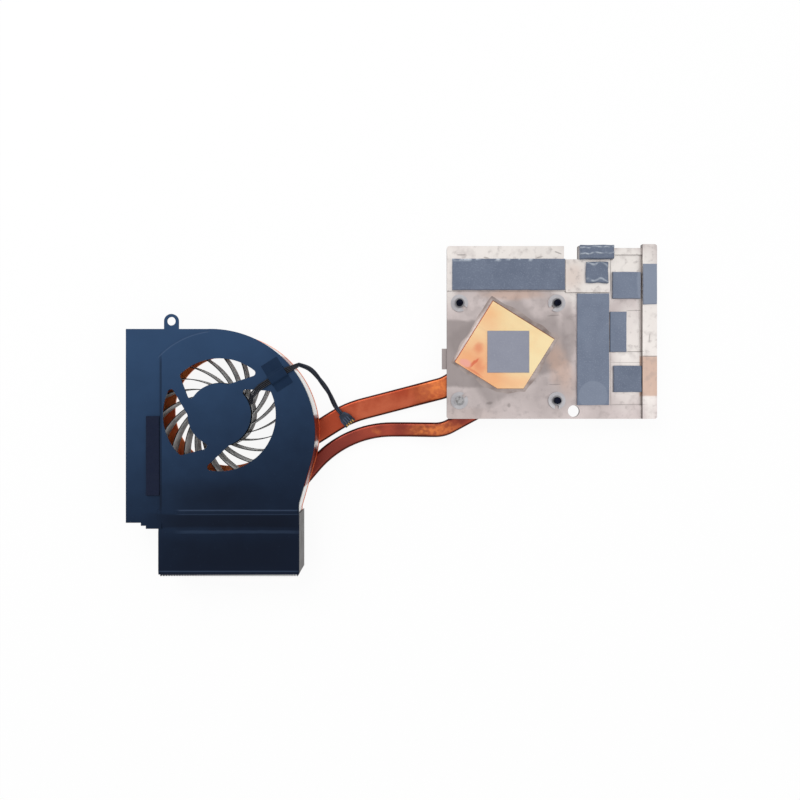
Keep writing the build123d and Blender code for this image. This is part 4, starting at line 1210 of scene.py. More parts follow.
def new_curve(name: str, kind: str, points: list[Vector]) -> bpy.types.Curve:
    """Make a curve of one spline.

    Args:
        name: The curve's name.
        kind: The spline's kind.
        points: Its points in the frame.

    Returns:
        The curve.
    """
    curve = bpy.data.curves.new(name, "CURVE")
    curve.dimensions = "3D"
    spline = curve.splines.new(kind)
    spline.points.add(len(points) - 1)
    for point, place in zip(spline.points, points):
        point.co = (*place, 1.0)
    return curve


def curve_mesh(curve: bpy.types.Curve) -> bpy.types.Mesh:
    """Turn a curve into a mesh, and remove the curve.

    Args:
        curve: The curve.

    Returns:
        The mesh.
    """
    guide = bpy.data.objects.new(curve.name, curve)
    bpy.context.scene.collection.objects.link(guide)
    bpy.context.view_layer.update()
    drawn = guide.evaluated_get(bpy.context.evaluated_depsgraph_get())
    mesh = bpy.data.meshes.new_from_object(drawn)
    bpy.data.objects.remove(guide)
    bpy.data.curves.remove(curve)
    return mesh


def soften(node: str, width_mm: float) -> None:
    """Break a CAD node's sharp edges with live modifiers.

    Args:
        node: The node's name.
        width_mm: How wide the broken edge is.
    """
    piece = frame["nodes"][node]
    weld = piece.modifiers.new("weld", "WELD")
    weld.merge_threshold = WELD_MM * MM
    bevel = piece.modifiers.new("broken_edge", "BEVEL")
    bevel.width = width_mm * MM
    bevel.segments = EDGE_SEGMENTS
    bevel.limit_method = "ANGLE"
    bevel.angle_limit = EDGE_ANGLE


@dataclass(frozen=True)
class Grain:
    """A smooth random field over the plan that is the same on every run.

    Its scales are per metre, and the layer tells one field from another.
    """

    x_scale: float
    y_scale: float
    layer: float

    def at(self, x: float, y: float) -> float:
        """Read the field, from about -1 to 1, at a point in metres."""
        return noise.noise(Vector((x * self.x_scale, y * self.y_scale, self.layer)))


class PadStyle(Enum):
    """How a soft pad has been treated."""

    CLEAN = "clean"
    SCUFFED = "scuffed along its far edge"
    CRUMPLED = "crumpled into wavy ridges"
    FOAM = "foam seal"


class PadTone(Enum):
    """Which batch of silicone a pad is cut from."""

    DEEP = "deep"
    LIGHT = "light"
    CHIP = "chip"


@dataclass
class PadShape:
    """One soft pad that stands in the space of its CAD solid."""

    node: str
    style: PadStyle
    step_mm: float = 0.55
    rim_mm: float = 0.22
    wander_mm: float = 0.22
    wave_mm: float = 0.06
    ridge_mm: float = 0.55
    scuff_mm: float = 1.7
    scuff_full_mm: float = 0.2
    fill: float = 0.8
    folds: tuple[float, ...] = ()

    CREST = "crest"
    RIM_SEGMENTS = 3
    CUT_SCALE = 260.0
    CUT_LAYER_SCALE = 70.0
    CUT_FROM = 0.75
    WAVES = Grain(180.0, 180.0, 1.7)
    WAVE_DROP = 0.6
    FOLD_SWAY = Grain(330.0, 90.0, 3.1)
    FOLD_SWAY_SHARE = 0.14
    FOLD_BREAKS = Grain(520.0, 300.0, 9.7)
    FOLD_COVER = 0.55
    FOLD_BREAK_SHARE = 0.9
    FOLD_HALF = 0.09
    FOLD_DROP = 0.6
    TORN = Grain(420.0, 900.0, 5.5)
    TORN_FROM = 0.05
    TORN_FULL = 0.4
    PATCHY = Grain(110.0, 2.5, 1.5)
    PATCHY_SHARE = 0.5
    FADING_SHARE = 0.9
    BARE_SHARE = 0.35

    def _crest(self, spot: Vector, low: Vector, high: Vector) -> float:
        """Tell how chalky a point of the pad's top is.

        Args:
            spot: The point in the frame.
            low: The pad's lowest corner.
            high: The pad's highest corner.

        Returns:
            The crest's strength, from 0 to 1.
        """
        if self.style is PadStyle.CRUMPLED:
            sway = self.FOLD_SWAY.at(spot.x, low.y) * self.FOLD_SWAY_SHARE
            broken = self.FOLD_COVER + self.FOLD_BREAK_SHARE * self.FOLD_BREAKS.at(spot.x, spot.y)
            share = (spot.y - low.y) / (high.y - low.y) + sway
            ridge = max(smoothed(abs(share - fold), self.FOLD_HALF, 0.0) for fold in self.folds)
            return ridge * min(1.0, max(0.0, broken))
        if self.style is PadStyle.SCUFFED:
            near = smoothed(high.y - spot.y, self.scuff_mm * MM, self.scuff_full_mm * MM)
            fading = smoothed(spot.x, high.x, low.x)
            patchy = self.PATCHY.at(spot.x, 1.0)
            torn = (self.TORN.at(spot.x, spot.y) + self.FADING_SHARE * fading
                    + self.PATCHY_SHARE * patchy - self.BARE_SHARE)
            return near * smoothed(torn, self.TORN_FROM, self.TORN_FULL)
        return 0.0

    def build(self, material: bpy.types.Material, slot: str) -> bpy.types.Object:
        """Model the pad and let it stand for its CAD node.

        Args:
            material: The pad's material.
            slot: The record's material slot; it is not used.

        Returns:
            The pad.
        """
        low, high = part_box(self.node)
        size = high - low
        bm = flat_grid(size.x, size.y, self.step_mm * MM)
        thicken(bm, size.z)
        for edge in rim_edges(bm, upward=False):
            edge.smooth = False
        bmesh.ops.bevel(bm, geom=rim_edges(bm, upward=True), offset=self.rim_mm * MM,
                        segments=self.RIM_SEGMENTS, profile=0.5, affect="EDGES", material=-1)
        bmesh.ops.translate(bm, vec=((low.x + high.x) / 2, (low.y + high.y) / 2, high.z), verts=bm.verts)
        layer = bm.verts.layers.float.new(self.CREST)
        for vert in bm.verts:
            spot = vert.co.copy()
            raised = smoothed(spot.z, low.z, high.z)
            crest = self._crest(spot, low, high)
            vert[layer] = crest * raised
            self._shift(vert, spot, raised, crest, (low + high) / 2, size)
        shade_smooth(bm)
        piece = settle(f"{self.node}_soft", bm, material, MODULE)
        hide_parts(self.node)
        return piece

    def _shift(self, vert: bmesh.types.BMVert, spot: Vector, raised: float, crest: float,
               centre: Vector, size: Vector) -> None:
        """Move one point of the pad by its uneven cut and its waves.

        Args:
            vert: The point.
            spot: Where it was.
            raised: Its height's share of the pad's thickness.
            crest: Its crest's strength.
            centre: The pad's middle.
            size: The pad's size.
        """
        cut = noise.noise_vector(Vector((spot.x * self.CUT_SCALE, spot.y * self.CUT_SCALE,
                                         centre.x * self.CUT_LAYER_SCALE)))
        for axis in (0, 1):
            edge = smoothed(abs(spot[axis] - centre[axis]) / (size[axis] / 2), self.CUT_FROM, 1.0)
            inward = -1.0 if spot[axis] > centre[axis] else 1.0
            vert.co[axis] += inward * edge * self.wander_mm * MM * (0.5 + 0.5 * cut[axis])
        wave = self.WAVES.at(spot.x, spot.y) - self.WAVE_DROP
        depth = self.wave_mm * wave
        if self.style is PadStyle.CRUMPLED:
            depth = self.ridge_mm * (crest - self.FOLD_DROP) + 2 * self.wave_mm * wave
        vert.co.z += raised * depth * MM


# Sub-assemblies


@dataclass
class Blower:
    """Casing of the blower: sheet cover, copper sheet, walls, fin stacks and foam seal."""

    foam: PadShape = field(default_factory=lambda: PadShape(
        "foam_strip", PadStyle.FOAM, step_mm=0.5, rim_mm=0.3, wander_mm=0.2, wave_mm=0.12, fill=0.5))
    # Painted reflection: the bright wall is painted copper red where it would reflect the copper beside it.
    copper_reflection_spots: tuple[PatchSpot, ...] = (
        PatchSpot(at_fan(44.0, -6.3), (8.0, 6.1), 0.97, 0.0, 0.06, 0.6, True),
        PatchSpot(at_fan(44.0, -24.2), (8.0, 9.2), 0.97, 0.0, 0.06, 0.6, True),
        PatchSpot(at_fan(34.0, 26.0), (5.5, 5.0), 0.8, 0.0, 0.1, 0.6, True),
    )

    def dress(self) -> None:
        """Give the casing's CAD nodes their finishes."""
        dress(["motor_plate"], CoverPaint().paint())
        dress(["base_sheet"], SheetCopper().paint())
        wall = PlainMetal("wall_bright", paint_chip(226, 226, 224), paint_chip(170, 166, 162), rough=0.3,
                          turn=0.3, cover=0.35, reflection_spots=self.copper_reflection_spots)
        dress(["scroll_wall", "cutoff_wall"], wall.paint())
        end = PlainMetal("end_metal", paint_chip(104, 103, 103), paint_chip(80, 76, 74), rough=0.5, turn=1.57,
                         cover=0.7)
        dress(["end_plate"], end.paint())
        fins = PlainMetal("fin_metal", paint_chip(66, 67, 74), paint_chip(40, 41, 48), rough=0.42, turn=1.57)
        dress(["left_fin_stack", "front_fin_stack"], fins.paint())

    def build(self) -> None:
        """Model the foam seal."""
        self.foam.build(SealFoam().paint(), "foam")


@dataclass
class Rotor:
    """Impeller with its steel yoke, magnet and shaft."""

    def dress(self) -> None:
        """Give the turning CAD nodes their finishes."""
        dress(["impeller"], SideLitMoulding().paint())
        steel = PlainMetal("motor_steel", paint_chip(176, 176, 178), paint_chip(120, 118, 116), rough=0.35)
        dress(["rotor_yoke", "rotor_shaft", "stator_core"], steel.paint())
        magnet = DarkPlastic("magnet", paint_chip(42, 41, 42), paint_chip(66, 64, 62), rough=0.6, grain=900.0)
        dress(["rotor_magnet"], magnet.paint())


@dataclass
class MotorInside:
    """Bearing, windings and board that stay with the cover."""

    def dress(self) -> None:
        """Give the motor's fixed CAD nodes their finishes."""
        brass = PlainMetal("bearing_brass", paint_chip(214, 178, 112), paint_chip(150, 116, 66), rough=0.34)
        dress(["bearing_tube", "sleeve_bearing"], brass.paint())
        wire = PlainMetal("winding_copper", paint_chip(206, 104, 58), paint_chip(140, 60, 32), rough=0.3,
                          turn=0.8)
        dress(["stator_windings"], wire.paint())
        board = DarkPlastic("board", paint_chip(28, 84, 58), paint_chip(46, 108, 78), rough=0.4, grain=700.0)
        dress(["motor_board"], board.paint())


@dataclass
class FanWiring:
    """Leads under their tape, and the free cable with its connector."""

    route_mm: tuple[tuple[float, float, float], ...] = (
        (37.5, 23.2, 17.1),
        (41.0, 22.2, 16.6),
        (43.7, 20.1, 15.3),
        (45.7, 17.4, 13.5),
        (47.4, 14.9, 11.4),
        (49.1, 12.3, 9.4),
        (50.6, 9.4, 7.5),
        (51.8, 6.2, 5.6),
        (53.3, 2.9, 4.5),
        (55.8, 0.2, 4.5),
    )
    cable_radius_mm: float = 1.15
    wire_radius_mm: float = 0.5
    wire_count: int = 4
    twist_turns: float = 0.8
    overlap_mm: float = 0.5
    rib_place_mm: Span = (58.5, -2.7)
    rib_step_mm: Span = (0.88, 0.82)
    rib_half_mm: Span = (1.5, 0.18)
    rib_turn: float = 47.0
    tape_place_mm: Span = (27.3, 18.1)
    tape_along: Span = (12.3, 7.8)
    tape_length_mm: float = 8.6
    tape_front_mm: float = 6.1
    tape_back_mm: float = 7.9
    tape_skin_mm: float = 0.15
    tape_step_mm: float = 0.3
    tape_shoulder_mm: float = 1.1
    tape_crease_mm: float = 0.05
    lead_half_mm: float = 1.7
    lead_rise_mm: float = 0.78

    ROUTE_ORDER = 3
    ROUTE_CUTS = 8
    WIRE_ROUNDNESS = 3
    TAPE_CREASES = Grain(500.0, 260.0, 2.2)

    def dress(self) -> None:
        """Give the wiring's CAD nodes their finishes."""
        leads = DarkPlastic("lead_insulation", paint_chip(22, 24, 32), paint_chip(52, 54, 62), rough=0.4)
        dress(["fan_leads"], leads.paint())
        # Painted highlights: three pale lines where the connector's ribs catch the light.
        middle = at_fan(*self.rib_place_mm)
        across = Vector((self.rib_step_mm[0] * MM, self.rib_step_mm[1] * MM, 0.0))
        rib_highlights = tuple(PatchSpot(middle + across * step, self.rib_half_mm, 0.8, self.rib_turn, 0.3, 0.1, True)
                     for step in (-1, 0, 1))
        housing = DarkPlastic("connector_plastic", paint_chip(24, 32, 46), paint_chip(78, 90, 112),
                              rough=0.42, rib_highlights=rib_highlights)
        dress(["fan_connector"], housing.paint())
        gold = PlainMetal("contact_gold", paint_chip(232, 190, 110), paint_chip(176, 128, 62), rough=0.26)
        dress(["connector_contacts"], gold.paint())

    def centre_line(self) -> list[Vector]:
        """Read the cable's smooth line from its route.

        Returns:
            Points along the line, in the frame.
        """
        curve = new_curve("cable_route", "NURBS", [at_fan(*place) for place in self.route_mm])
        spline = curve.splines[0]
        spline.order_u = self.ROUTE_ORDER
        spline.use_endpoint_u = True
        spline.resolution_u = self.ROUTE_CUTS
        mesh = curve_mesh(curve)
        points = [vert.co.copy() for vert in mesh.vertices]
        bpy.data.meshes.remove(mesh)
        return points

    def _strand(self, line: list[Vector], number: int) -> list[Vector]:
        """Lay one wire of the bundle round the cable's line.

        Args:
            line: The cable's line.
            number: Which wire it is.

        Returns:
            The wire's own line.
        """
        reach = (self.cable_radius_mm - self.wire_radius_mm) * MM
        side = UP
        strand = []
        for i, point in enumerate(line):
            ahead = (line[min(i + 1, len(line) - 1)] - line[max(i - 1, 0)]).normalized()
            side = (side - ahead * side.dot(ahead)).normalized()
            share = i / (len(line) - 1)
            turn = 2 * math.pi * ((number + 0.5) / self.wire_count + self.twist_turns * share)
            strand.append(point + Matrix.Rotation(turn, 3, ahead) @ side * reach)
        return strand

    def build_cable(self) -> bpy.types.Object:
        """Returns:
            The cable.
        """
        line = self.centre_line()
        bm = bmesh.new()
        for number in range(self.wire_count):
            strand = self._strand(line, number)
            back = (line[0] - line[1]) * IN_PLAN
            strand.insert(0, strand[0] + back.normalized() * self.overlap_mm * MM)
            curve = new_curve("wire", "POLY", strand)
            curve.bevel_depth = self.wire_radius_mm * MM
            curve.bevel_resolution = self.WIRE_ROUNDNESS
            curve.use_fill_caps = True
            mesh = curve_mesh(curve)
            bm.from_mesh(mesh)
            bpy.data.meshes.remove(mesh)
        shade_smooth(bm)
        sleeve = DarkPlastic("cable_sleeve", paint_chip(22, 27, 38), paint_chip(56, 66, 84), rough=0.38,
                             grain=1200.0)
        cable = settle("fan_cable_bundle", bm, sleeve.paint(), MODULE)
        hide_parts("fan_cable")
        return cable

    def build_tape(self) -> bpy.types.Object:
        """Model the tape as a thin sheet pressed over the leads.

        Returns:
            The tape.
        """
        width = (self.tape_front_mm + self.tape_back_mm) * MM
        bm = flat_grid(width, self.tape_length_mm * MM, self.tape_step_mm * MM)
        shift = (self.tape_back_mm - self.tape_front_mm) / 2 * MM
        for vert in bm.verts:
            across = abs(vert.co.x + shift)
            rise = smoothed(across, (self.lead_half_mm + self.tape_shoulder_mm) * MM, self.lead_half_mm * MM)
            crease = self.tape_crease_mm + self.tape_crease_mm * self.TAPE_CREASES.at(vert.co.x, vert.co.y)
            vert.co.z = (self.lead_rise_mm + self.tape_skin_mm) * MM * rise + crease * MM
        thicken(bm, self.tape_skin_mm * MM)
        shade_smooth(bm)
        for edge in [*rim_edges(bm, upward=True), *rim_edges(bm, upward=False)]:
            edge.smooth = False
        along = Vector((*self.tape_along, 0.0)).normalized()
        across = Vector((-along.y, along.x, 0.0))
        cover_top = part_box("lead_tape")[0].z + self.tape_skin_mm * MM
        place = at_fan(*self.tape_place_mm) + across * shift
        place.z = cover_top
        turn = Matrix((across, -along, UP)).transposed()
        bmesh.ops.transform(bm, matrix=Matrix.Translation(place) @ turn.to_4x4(), verts=bm.verts)
        film = DarkPlastic("tape", paint_chip(22, 40, 64), paint_chip(30, 48, 72), rough=0.5, grain=700.0,
                           depth_mm=0.04, gloss=0.06)
        tape = settle("lead_tape_film", bm, film.paint(), MODULE)
        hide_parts("lead_tape")
        return tape


@dataclass
class HeatPipes:
    """The two flattened copper pipes."""

    # Where each pipe gets painted highlights near its bends.
    upper_highlights: tuple[PatchSpot, ...] = (
        PatchSpot(at_plate(-33.5, -17.0), (9.5, 7.0), 0.6, 15.0, 0.9, 5.0),
        PatchSpot(at_plate(-34.2, -15.4), (3.2, 2.6), 0.75, 15.0, 0.8, 5.0),
    )
    upper_dims: tuple[PatchSpot, ...] = (PatchSpot(at_fan(52.0, -7.0), (9.0, 9.0), 0.8, 0.0, 0.6, 5.0),)
    lower_highlights: tuple[PatchSpot, ...] = (
        PatchSpot(at_plate(-38.0, -38.2), (8.0, 2.4), 0.75, 2.0, 0.8, 5.0),
        PatchSpot(at_plate(-29.0, -36.6), (9.0, 3.0), 0.4, 12.0, 0.9, 4.0),
        PatchSpot(at_plate(-63.0, -38.4), (2.0, 0.9), 0.3, 10.0, 0.9, 3.0),
    )
    lower_dims: tuple[PatchSpot, ...] = (PatchSpot(at_fan(50.0, -20.0), (18.0, 14.0), 0.9, 0.0, 0.7, 6.0),)

    def dress(self) -> None:
        """Give each pipe its finish."""
        upper = PipeCopper("upper_pipe_copper", paint_chip(205, 107, 76), paint_chip(176, 74, 50),
                           self.upper_highlights, self.upper_dims)
        dress(["upper_heat_pipe"], upper.paint())
        lower = PipeCopper("lower_pipe_copper", paint_chip(182, 84, 66), paint_chip(136, 62, 54),
                           self.lower_highlights, self.lower_dims)
        dress(["lower_heat_pipe"], lower.paint())


@dataclass
class MountingPlate:
    """Stepped plate with its contact block and the solder round it."""

    solder_rise_mm: float = 0.45
    solder_reach_mm: float = 2.0
    solder_wander_mm: float = 1.4
    solder_cuts: int = 22
    solder_levels: tuple[float, ...] = (0.35, 0.12, 0.0)
    block_edge_mm: float = 0.35
    block_top_mm: float = 0.01

    MICRON_DIGITS = 6
    SOLDER_WANDER = Grain(150.0, 150.0, 4.0)

    def dress(self) -> None:
        """Give the plate and the block their finishes."""
        dress(["mount_plate"], PlateMetal().paint())
        dress(["contact_block"], BlockCopper().paint())
        soften("contact_block", self.block_edge_mm)

    def _block_corners(self) -> list[Vector]:
        """Find the block's corners in plan.

        Returns:
            The corners in order round the block.
        """
        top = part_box("contact_block")[1].z
        verts = frame["nodes"]["contact_block"].data.vertices
        upper = [v.co for v in verts if v.co.z > top - self.block_top_mm * MM]
        places = {(round(co.x, self.MICRON_DIGITS), round(co.y, self.MICRON_DIGITS)) for co in upper}
        corners = [Vector((*place, 0.0)) for place in places]
        middle = sum(corners, Vector()) / len(corners)
        return sorted(corners, key=lambda c: math.atan2(c.y - middle.y, c.x - middle.x))

    def build_solder(self) -> bpy.types.Object:
        """Model the uneven run of solder and flux round the block.

        Returns:
            The solder.
        """
        corners = self._block_corners()
        middle = sum(corners, Vector()) / len(corners)
        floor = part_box("memory_pad_right")[0].z
        bm = bmesh.new()
        outline = bm.faces.new([bm.verts.new((c.x, c.y, floor + self.solder_rise_mm * MM)) for c in corners])
        bmesh.ops.subdivide_edges(bm, edges=outline.edges[:], cuts=self.solder_cuts)
        for level in self.solder_levels:
            self._skirt(bm, middle, floor, level)
        bmesh.ops.recalc_face_normals(bm, faces=bm.faces[:])
        shade_smooth(bm)
        metal = PlainMetal("solder", paint_chip(182, 169, 165), paint_chip(136, 122, 118), rough=0.46,
                           cover=0.9)
        return settle("block_solder", bm, metal.paint(), MODULE)

    def _skirt(self, bm: bmesh.types.BMesh, middle: Vector, floor: float, level: float) -> None:
        """Draw the solder's edge out by one ring.

        Args:
            bm: The solder's mesh.
            middle: The block's middle.
            floor: The plate's height.
            level: The ring's height, as a share of the rise.
        """
        rim = [edge for edge in bm.edges if len(edge.link_faces) == 1]
        drawn = bmesh.ops.extrude_edge_only(bm, edges=rim)
        for vert in (item for item in drawn["geom"] if isinstance(item, bmesh.types.BMVert)):
            out = Vector((vert.co.x - middle.x, vert.co.y - middle.y, 0.0)).normalized()
            wander = self.SOLDER_WANDER.at(vert.co.x, vert.co.y)
            reach = (self.solder_reach_mm + self.solder_wander_mm * wander) * MM
            vert.co += out * reach / len(self.solder_levels)
            vert.co.z = floor + level * self.solder_rise_mm * MM


@dataclass
class ThermalPads:
    """Soft pads on the plate's levels and on the block."""

    pads: tuple[tuple[PadTone, PadShape], ...] = (
        (PadTone.DEEP, PadShape("memory_pad_top", PadStyle.SCUFFED)),
        (PadTone.LIGHT, PadShape("memory_pad_right", PadStyle.CLEAN)),
        (PadTone.DEEP, PadShape("pad_edge", PadStyle.CRUMPLED, step_mm=0.25, rim_mm=0.35, wander_mm=0.4,
                                folds=(0.42, 0.84))),
        (PadTone.DEEP, PadShape("pad_small_upper", PadStyle.CRUMPLED, step_mm=0.25, rim_mm=0.35,
                                wander_mm=0.7, folds=(0.14, 0.88))),
        (PadTone.LIGHT, PadShape("pad_vrm_upper", PadStyle.CLEAN)),
        (PadTone.LIGHT, PadShape("pad_vrm_middle", PadStyle.CLEAN)),
        (PadTone.DEEP, PadShape("pad_vrm_lower", PadStyle.CLEAN)),
        (PadTone.LIGHT, PadShape("pad_strip_right", PadStyle.CLEAN)),
        (PadTone.CHIP, PadShape("gpu_pad", PadStyle.CLEAN, step_mm=0.6, rim_mm=0.1, wander_mm=0.08,
                                wave_mm=0.02)),
    )
    chip_print: PatchSpot = PatchSpot(at_plate(40.4, -20.8), (6.9, 6.9), 0.35, 0.0, 0.06, 0.8)
    faded_strip: PatchSpot = PatchSpot(at_plate(67.6, 32.0), (6.0, 12.0), 0.6, 0.0, 0.1, 1.5)

    def build(self) -> None:
        """Model every pad."""
        batches = {
            PadTone.DEEP: PadSilicone("thermal_pad"),
            PadTone.LIGHT: PadSilicone("light_pad", paint_chip(113, 123, 142), paint_chip(98, 108, 128),
                                       paint_chip(140, 149, 166), prints=(self.chip_print, self.faded_strip)),
            PadTone.CHIP: PadSilicone("chip_pad", paint_chip(140, 143, 157), paint_chip(131, 134, 149),
                                      paint_chip(152, 155, 168), speckled=0.3),
        }
        painted = {tone: batch.paint() for tone, batch in batches.items()}
        for tone, shape in self.pads:
            shape.build(painted[tone], "thermal_pad")


class TipFinish(Enum):
    """How a captive screw's tip looks."""

    BLACK = "black"
    SILVER = "silver"


@dataclass
class CaptiveScrews:
    """Four screws with clips and springs, and the threads on their tips."""

    tips: tuple[TipFinish, ...] = (TipFinish.BLACK, TipFinish.BLACK, TipFinish.SILVER, TipFinish.BLACK)
    tip_length_mm: float = 1.7
    pitch_mm: float = 0.42
    thread_depth_mm: float = 0.14
    tip_margin_mm: float = 0.1
    thread_sink_mm: float = 0.03
    thread_shares: tuple[float, ...] = (0.0, 0.42, 0.5, 0.92)
    steps: int = 28
    spring_wire_mm: float = 0.45
    spring_turns: float = 2.5
    wire_sides: int = 10
    metals: dict[TipFinish, bpy.types.Material] = field(default_factory=dict)

    def dress(self) -> None:
        """Give screws, clips and springs their finishes."""
        black = ScrewMetal("screw_black", paint_chip(26, 29, 44), paint_chip(14, 16, 26))
        silver = ScrewMetal("screw_silver", paint_chip(190, 189, 190), paint_chip(58, 56, 56))
        self.metals = {TipFinish.BLACK: black.paint(), TipFinish.SILVER: silver.paint()}
        clip = PlainMetal("clip_steel", paint_chip(206, 204, 207), paint_chip(156, 153, 158),
                          rough=0.34).paint()
        for number, tip in enumerate(self.tips, start=1):
            dress([f"captive_screw_{number}"], self.metals[tip])
            dress([f"screw_clip_{number}"], clip)

    def build(self) -> None:
        """Model a thread on each tip and a spring under each head."""
        steel = PlainMetal("spring_steel", paint_chip(190, 190, 190), paint_chip(140, 138, 136),
                           rough=0.3).paint()
        for number, tip in enumerate(self.tips, start=1):
            self._thread(number, self.metals[tip])
            self._spring(number, steel)

    def _spring(self, number: int, steel: bpy.types.Material) -> None:
        """Wind one coil spring at the length of its CAD node; the real spring shortens towards the plate as its
        screw is pressed, which this one doesn't.

        Args:
            number: Which screw it is on.
            steel: Its material.
        """
        node = f"screw_spring_{number}"
        low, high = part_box(node)
        axis = (low + high) / 2
        wire = self.spring_wire_mm * MM / 2
        rise = high.z - low.z - 2 * wire
        steps = round(self.spring_turns * self.steps)
        bm = bmesh.new()
        bmesh.ops.create_circle(bm, segments=self.wire_sides, radius=wire)
        bmesh.ops.rotate(bm, cent=ORIGIN, matrix=Matrix.Rotation(math.pi / 2, 3, "X"), verts=bm.verts)
        bmesh.ops.translate(bm, vec=(high.x - wire, axis.y, low.z + wire), verts=bm.verts)
        wind(bm, axis, self.spring_turns, steps, rise / steps)
        for face in bm.faces:
            face.smooth = len(face.verts) == 4
        coil = settle(f"{node}_coil", bm, steel, MODULE)
        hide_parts(node)
        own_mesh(coil)

    def _thread(self, number: int, metal: bpy.types.Material) -> None:
        """Wind one thread by a spin that rises.

        Args:
            number: Which screw it is on.
            metal: Its material.
        """
        low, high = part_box(f"captive_screw_{number}")
        axis = (low + high) / 2
        radius = next(m["dims"]["stud_r_mm"] for m in frame["record"]["mounts"]
                      if m["name"] == "captive_screws")
        root = (radius - self.thread_sink_mm) * MM
        crest = (radius + self.thread_depth_mm) * MM
        start = high.z - self.tip_length_mm * MM + self.tip_margin_mm * MM
        turns = int((self.tip_length_mm - 2 * self.tip_margin_mm) / self.pitch_mm)
        bm = bmesh.new()
        profile = [bm.verts.new((axis.x + reach, axis.y, start + share * self.pitch_mm * MM))
                   for reach, share in zip((root, crest, crest, root), self.thread_shares)]
        for corner, following in zip(profile, [*profile[1:], profile[0]]):
            bm.edges.new((corner, following))
        wind(bm, axis, turns, self.steps * turns, self.pitch_mm * MM / self.steps)
        settle(f"screw_thread_{number}", bm, metal, f"screw_{number}")


@dataclass(frozen=True)
class SoftBox:
    """One square soft box that points at the part. Its place and its side are in metres."""

    name: str
    place: Vector
    side: float
    watts: float

    def hang(self) -> None:
        """Hang the soft box in the scene."""
        lamp = bpy.data.lights.new(self.name, "AREA")
        lamp.size = self.side
        lamp.energy = self.watts
        holder = bpy.data.objects.new(self.name, lamp)
        holder.location = self.place
        holder.rotation_euler = (-self.place).to_track_quat("-Z", "Y").to_euler()
        bpy.context.scene.collection.objects.link(holder)


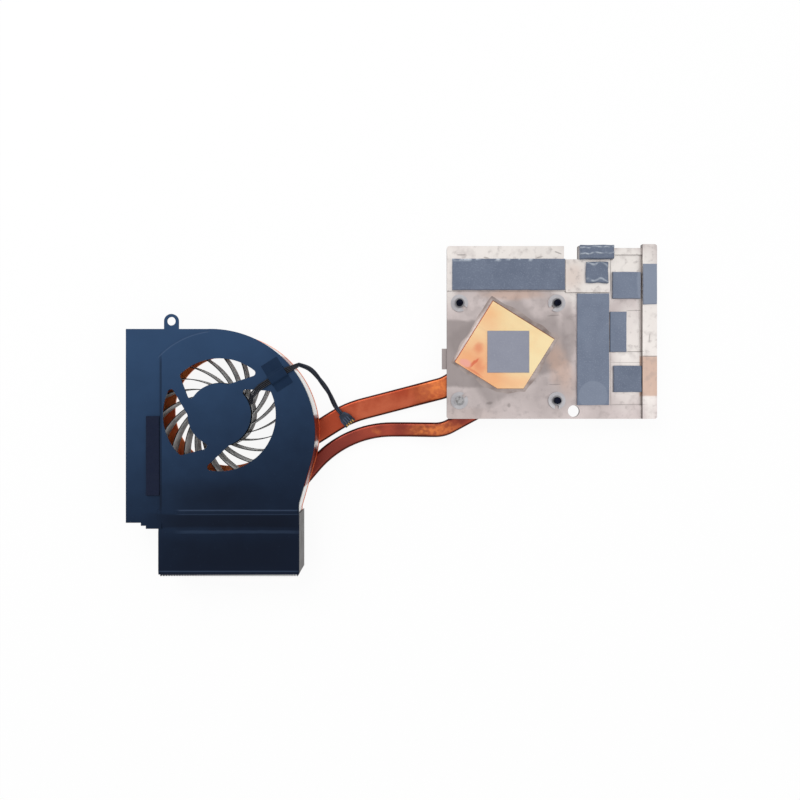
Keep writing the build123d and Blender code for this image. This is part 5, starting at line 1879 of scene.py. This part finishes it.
@dataclass
class Studio:
    """Pale floor, soft light and the camera above the part."""

    camera_x_mm: float = 2.6
    camera_y_mm: float = 4.0
    camera_height_mm: float = 295.0
    lens_mm: float = 27.0
    sensor_mm: float = 36.0
    nearest: float = 0.01
    floor_side: float = 6.0
    floor_cells: int = 4
    floor_drop_mm: float = 0.05
    floor_grey: Colour = (0.9, 0.9, 0.9, 1.0)
    floor_rough: float = 0.9
    floor_glow: float = 0.92
    sky: float = 0.72
    backdrop: float = 0.98
    boxes: tuple[SoftBox, ...] = (
        SoftBox("key", Vector((-0.45, 0.65, 0.75)), side=0.8, watts=5.0),
        SoftBox("fill", Vector((0.7, -0.2, 0.8)), side=0.7, watts=1.5),
    )

    def floor(self) -> None:
        """Lay the floor: white to the camera and in reflections, with the part's soft shadow kept."""
        bm = flat_grid(self.floor_side, self.floor_side, self.floor_side / self.floor_cells)
        bmesh.ops.translate(bm, vec=(0.0, 0.0, -self.floor_drop_mm * MM), verts=bm.verts)
        mesh = bpy.data.meshes.new("floor")
        bm.to_mesh(mesh)
        bm.free()
        piece = bpy.data.objects.new("floor", mesh)
        bpy.context.scene.collection.objects.link(piece)
        material = bpy.data.materials.new("floor_white")
        material.use_nodes = True
        tree = material.node_tree
        shader = next(n for n in tree.nodes if n.type == "BSDF_PRINCIPLED")
        output = next(n for n in tree.nodes if n.type == "OUTPUT_MATERIAL")
        shader.inputs["Base Color"].default_value = self.floor_grey
        shader.inputs["Roughness"].default_value = self.floor_rough
        glow = tree.nodes.new("ShaderNodeEmission")
        share = math_node(tree, SCALAR_MATH, "MULTIPLY", self._any_ray(tree), self.floor_glow)
        blend = tree.nodes.new("ShaderNodeMixShader")
        tree.links.new(share, blend.inputs["Fac"])
        tree.links.new(shader.outputs["BSDF"], blend.inputs[1])
        tree.links.new(glow.outputs["Emission"], blend.inputs[2])
        tree.links.new(blend.outputs["Shader"], output.inputs["Surface"])
        mesh.materials.append(material)

    @staticmethod
    def _any_ray(tree: bpy.types.NodeTree) -> Socket:
        """Tell camera, glossy and transmission rays from the rest.

        Args:
            tree: The node tree.

        Returns:
            1 for those rays and 0 for others.
        """
        rays = tree.nodes.new("ShaderNodeLightPath").outputs
        seen = math_node(tree, SCALAR_MATH, "MAXIMUM", rays["Is Camera Ray"], rays["Is Glossy Ray"])
        return math_node(tree, SCALAR_MATH, "MAXIMUM", seen, rays["Is Transmission Ray"])

    def lights(self) -> None:
        """Set an even sky and two soft boxes."""
        world = bpy.data.worlds.new("studio_sky")
        world.use_nodes = True
        tree = world.node_tree
        sky = next(n for n in tree.nodes if n.type == "BACKGROUND")
        sky.inputs["Color"].default_value = (1.0, 1.0, 1.0, 1.0)
        rays = tree.nodes.new("ShaderNodeLightPath").outputs
        limits = {"To Min": self.sky, "To Max": self.backdrop}
        tree.links.new(map_range(tree, rays["Is Camera Ray"], limits, smooth=False), sky.inputs["Strength"])
        bpy.context.scene.world = world
        for box in self.boxes:
            box.hang()

    def camera(self) -> None:
        """Hang the camera straight above the part."""
        lens = bpy.data.cameras.new("view")
        lens.lens = self.lens_mm
        lens.sensor_width = self.sensor_mm
        lens.clip_start = self.nearest
        holder = bpy.data.objects.new("view", lens)
        holder.location = (self.camera_x_mm * MM, self.camera_y_mm * MM, self.camera_height_mm * MM)
        bpy.context.scene.collection.objects.link(holder)
        bpy.context.scene.camera = holder


def corners(box: tuple[Vector, Vector]) -> list[list[float]]:
    """Write a box as plain lists of numbers."""
    return [[float(value) for value in corner] for corner in box]


def main() -> None:
    """Build and dress the module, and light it."""
    logging.basicConfig(level=logging.INFO, format="%(name)s: %(message)s")
    noise.seed_set(CUT_SEED)
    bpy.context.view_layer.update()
    scene = bpy.context.scene
    scene.view_settings.view_transform = "Standard"
    studio = Studio()
    studio.camera()
    studio.floor()
    studio.lights()
    wiring = FanWiring()
    wiring.dress()
    wiring.build_cable()
    wiring.build_tape()
    blower = Blower()
    blower.dress()
    blower.build()
    Rotor().dress()
    MotorInside().dress()
    HeatPipes().dress()
    plate = MountingPlate()
    plate.dress()
    plate.build_solder()
    ThermalPads().build()
    screws = CaptiveScrews()
    screws.dress()
    screws.build()


if __name__ == "__main__":
    main()
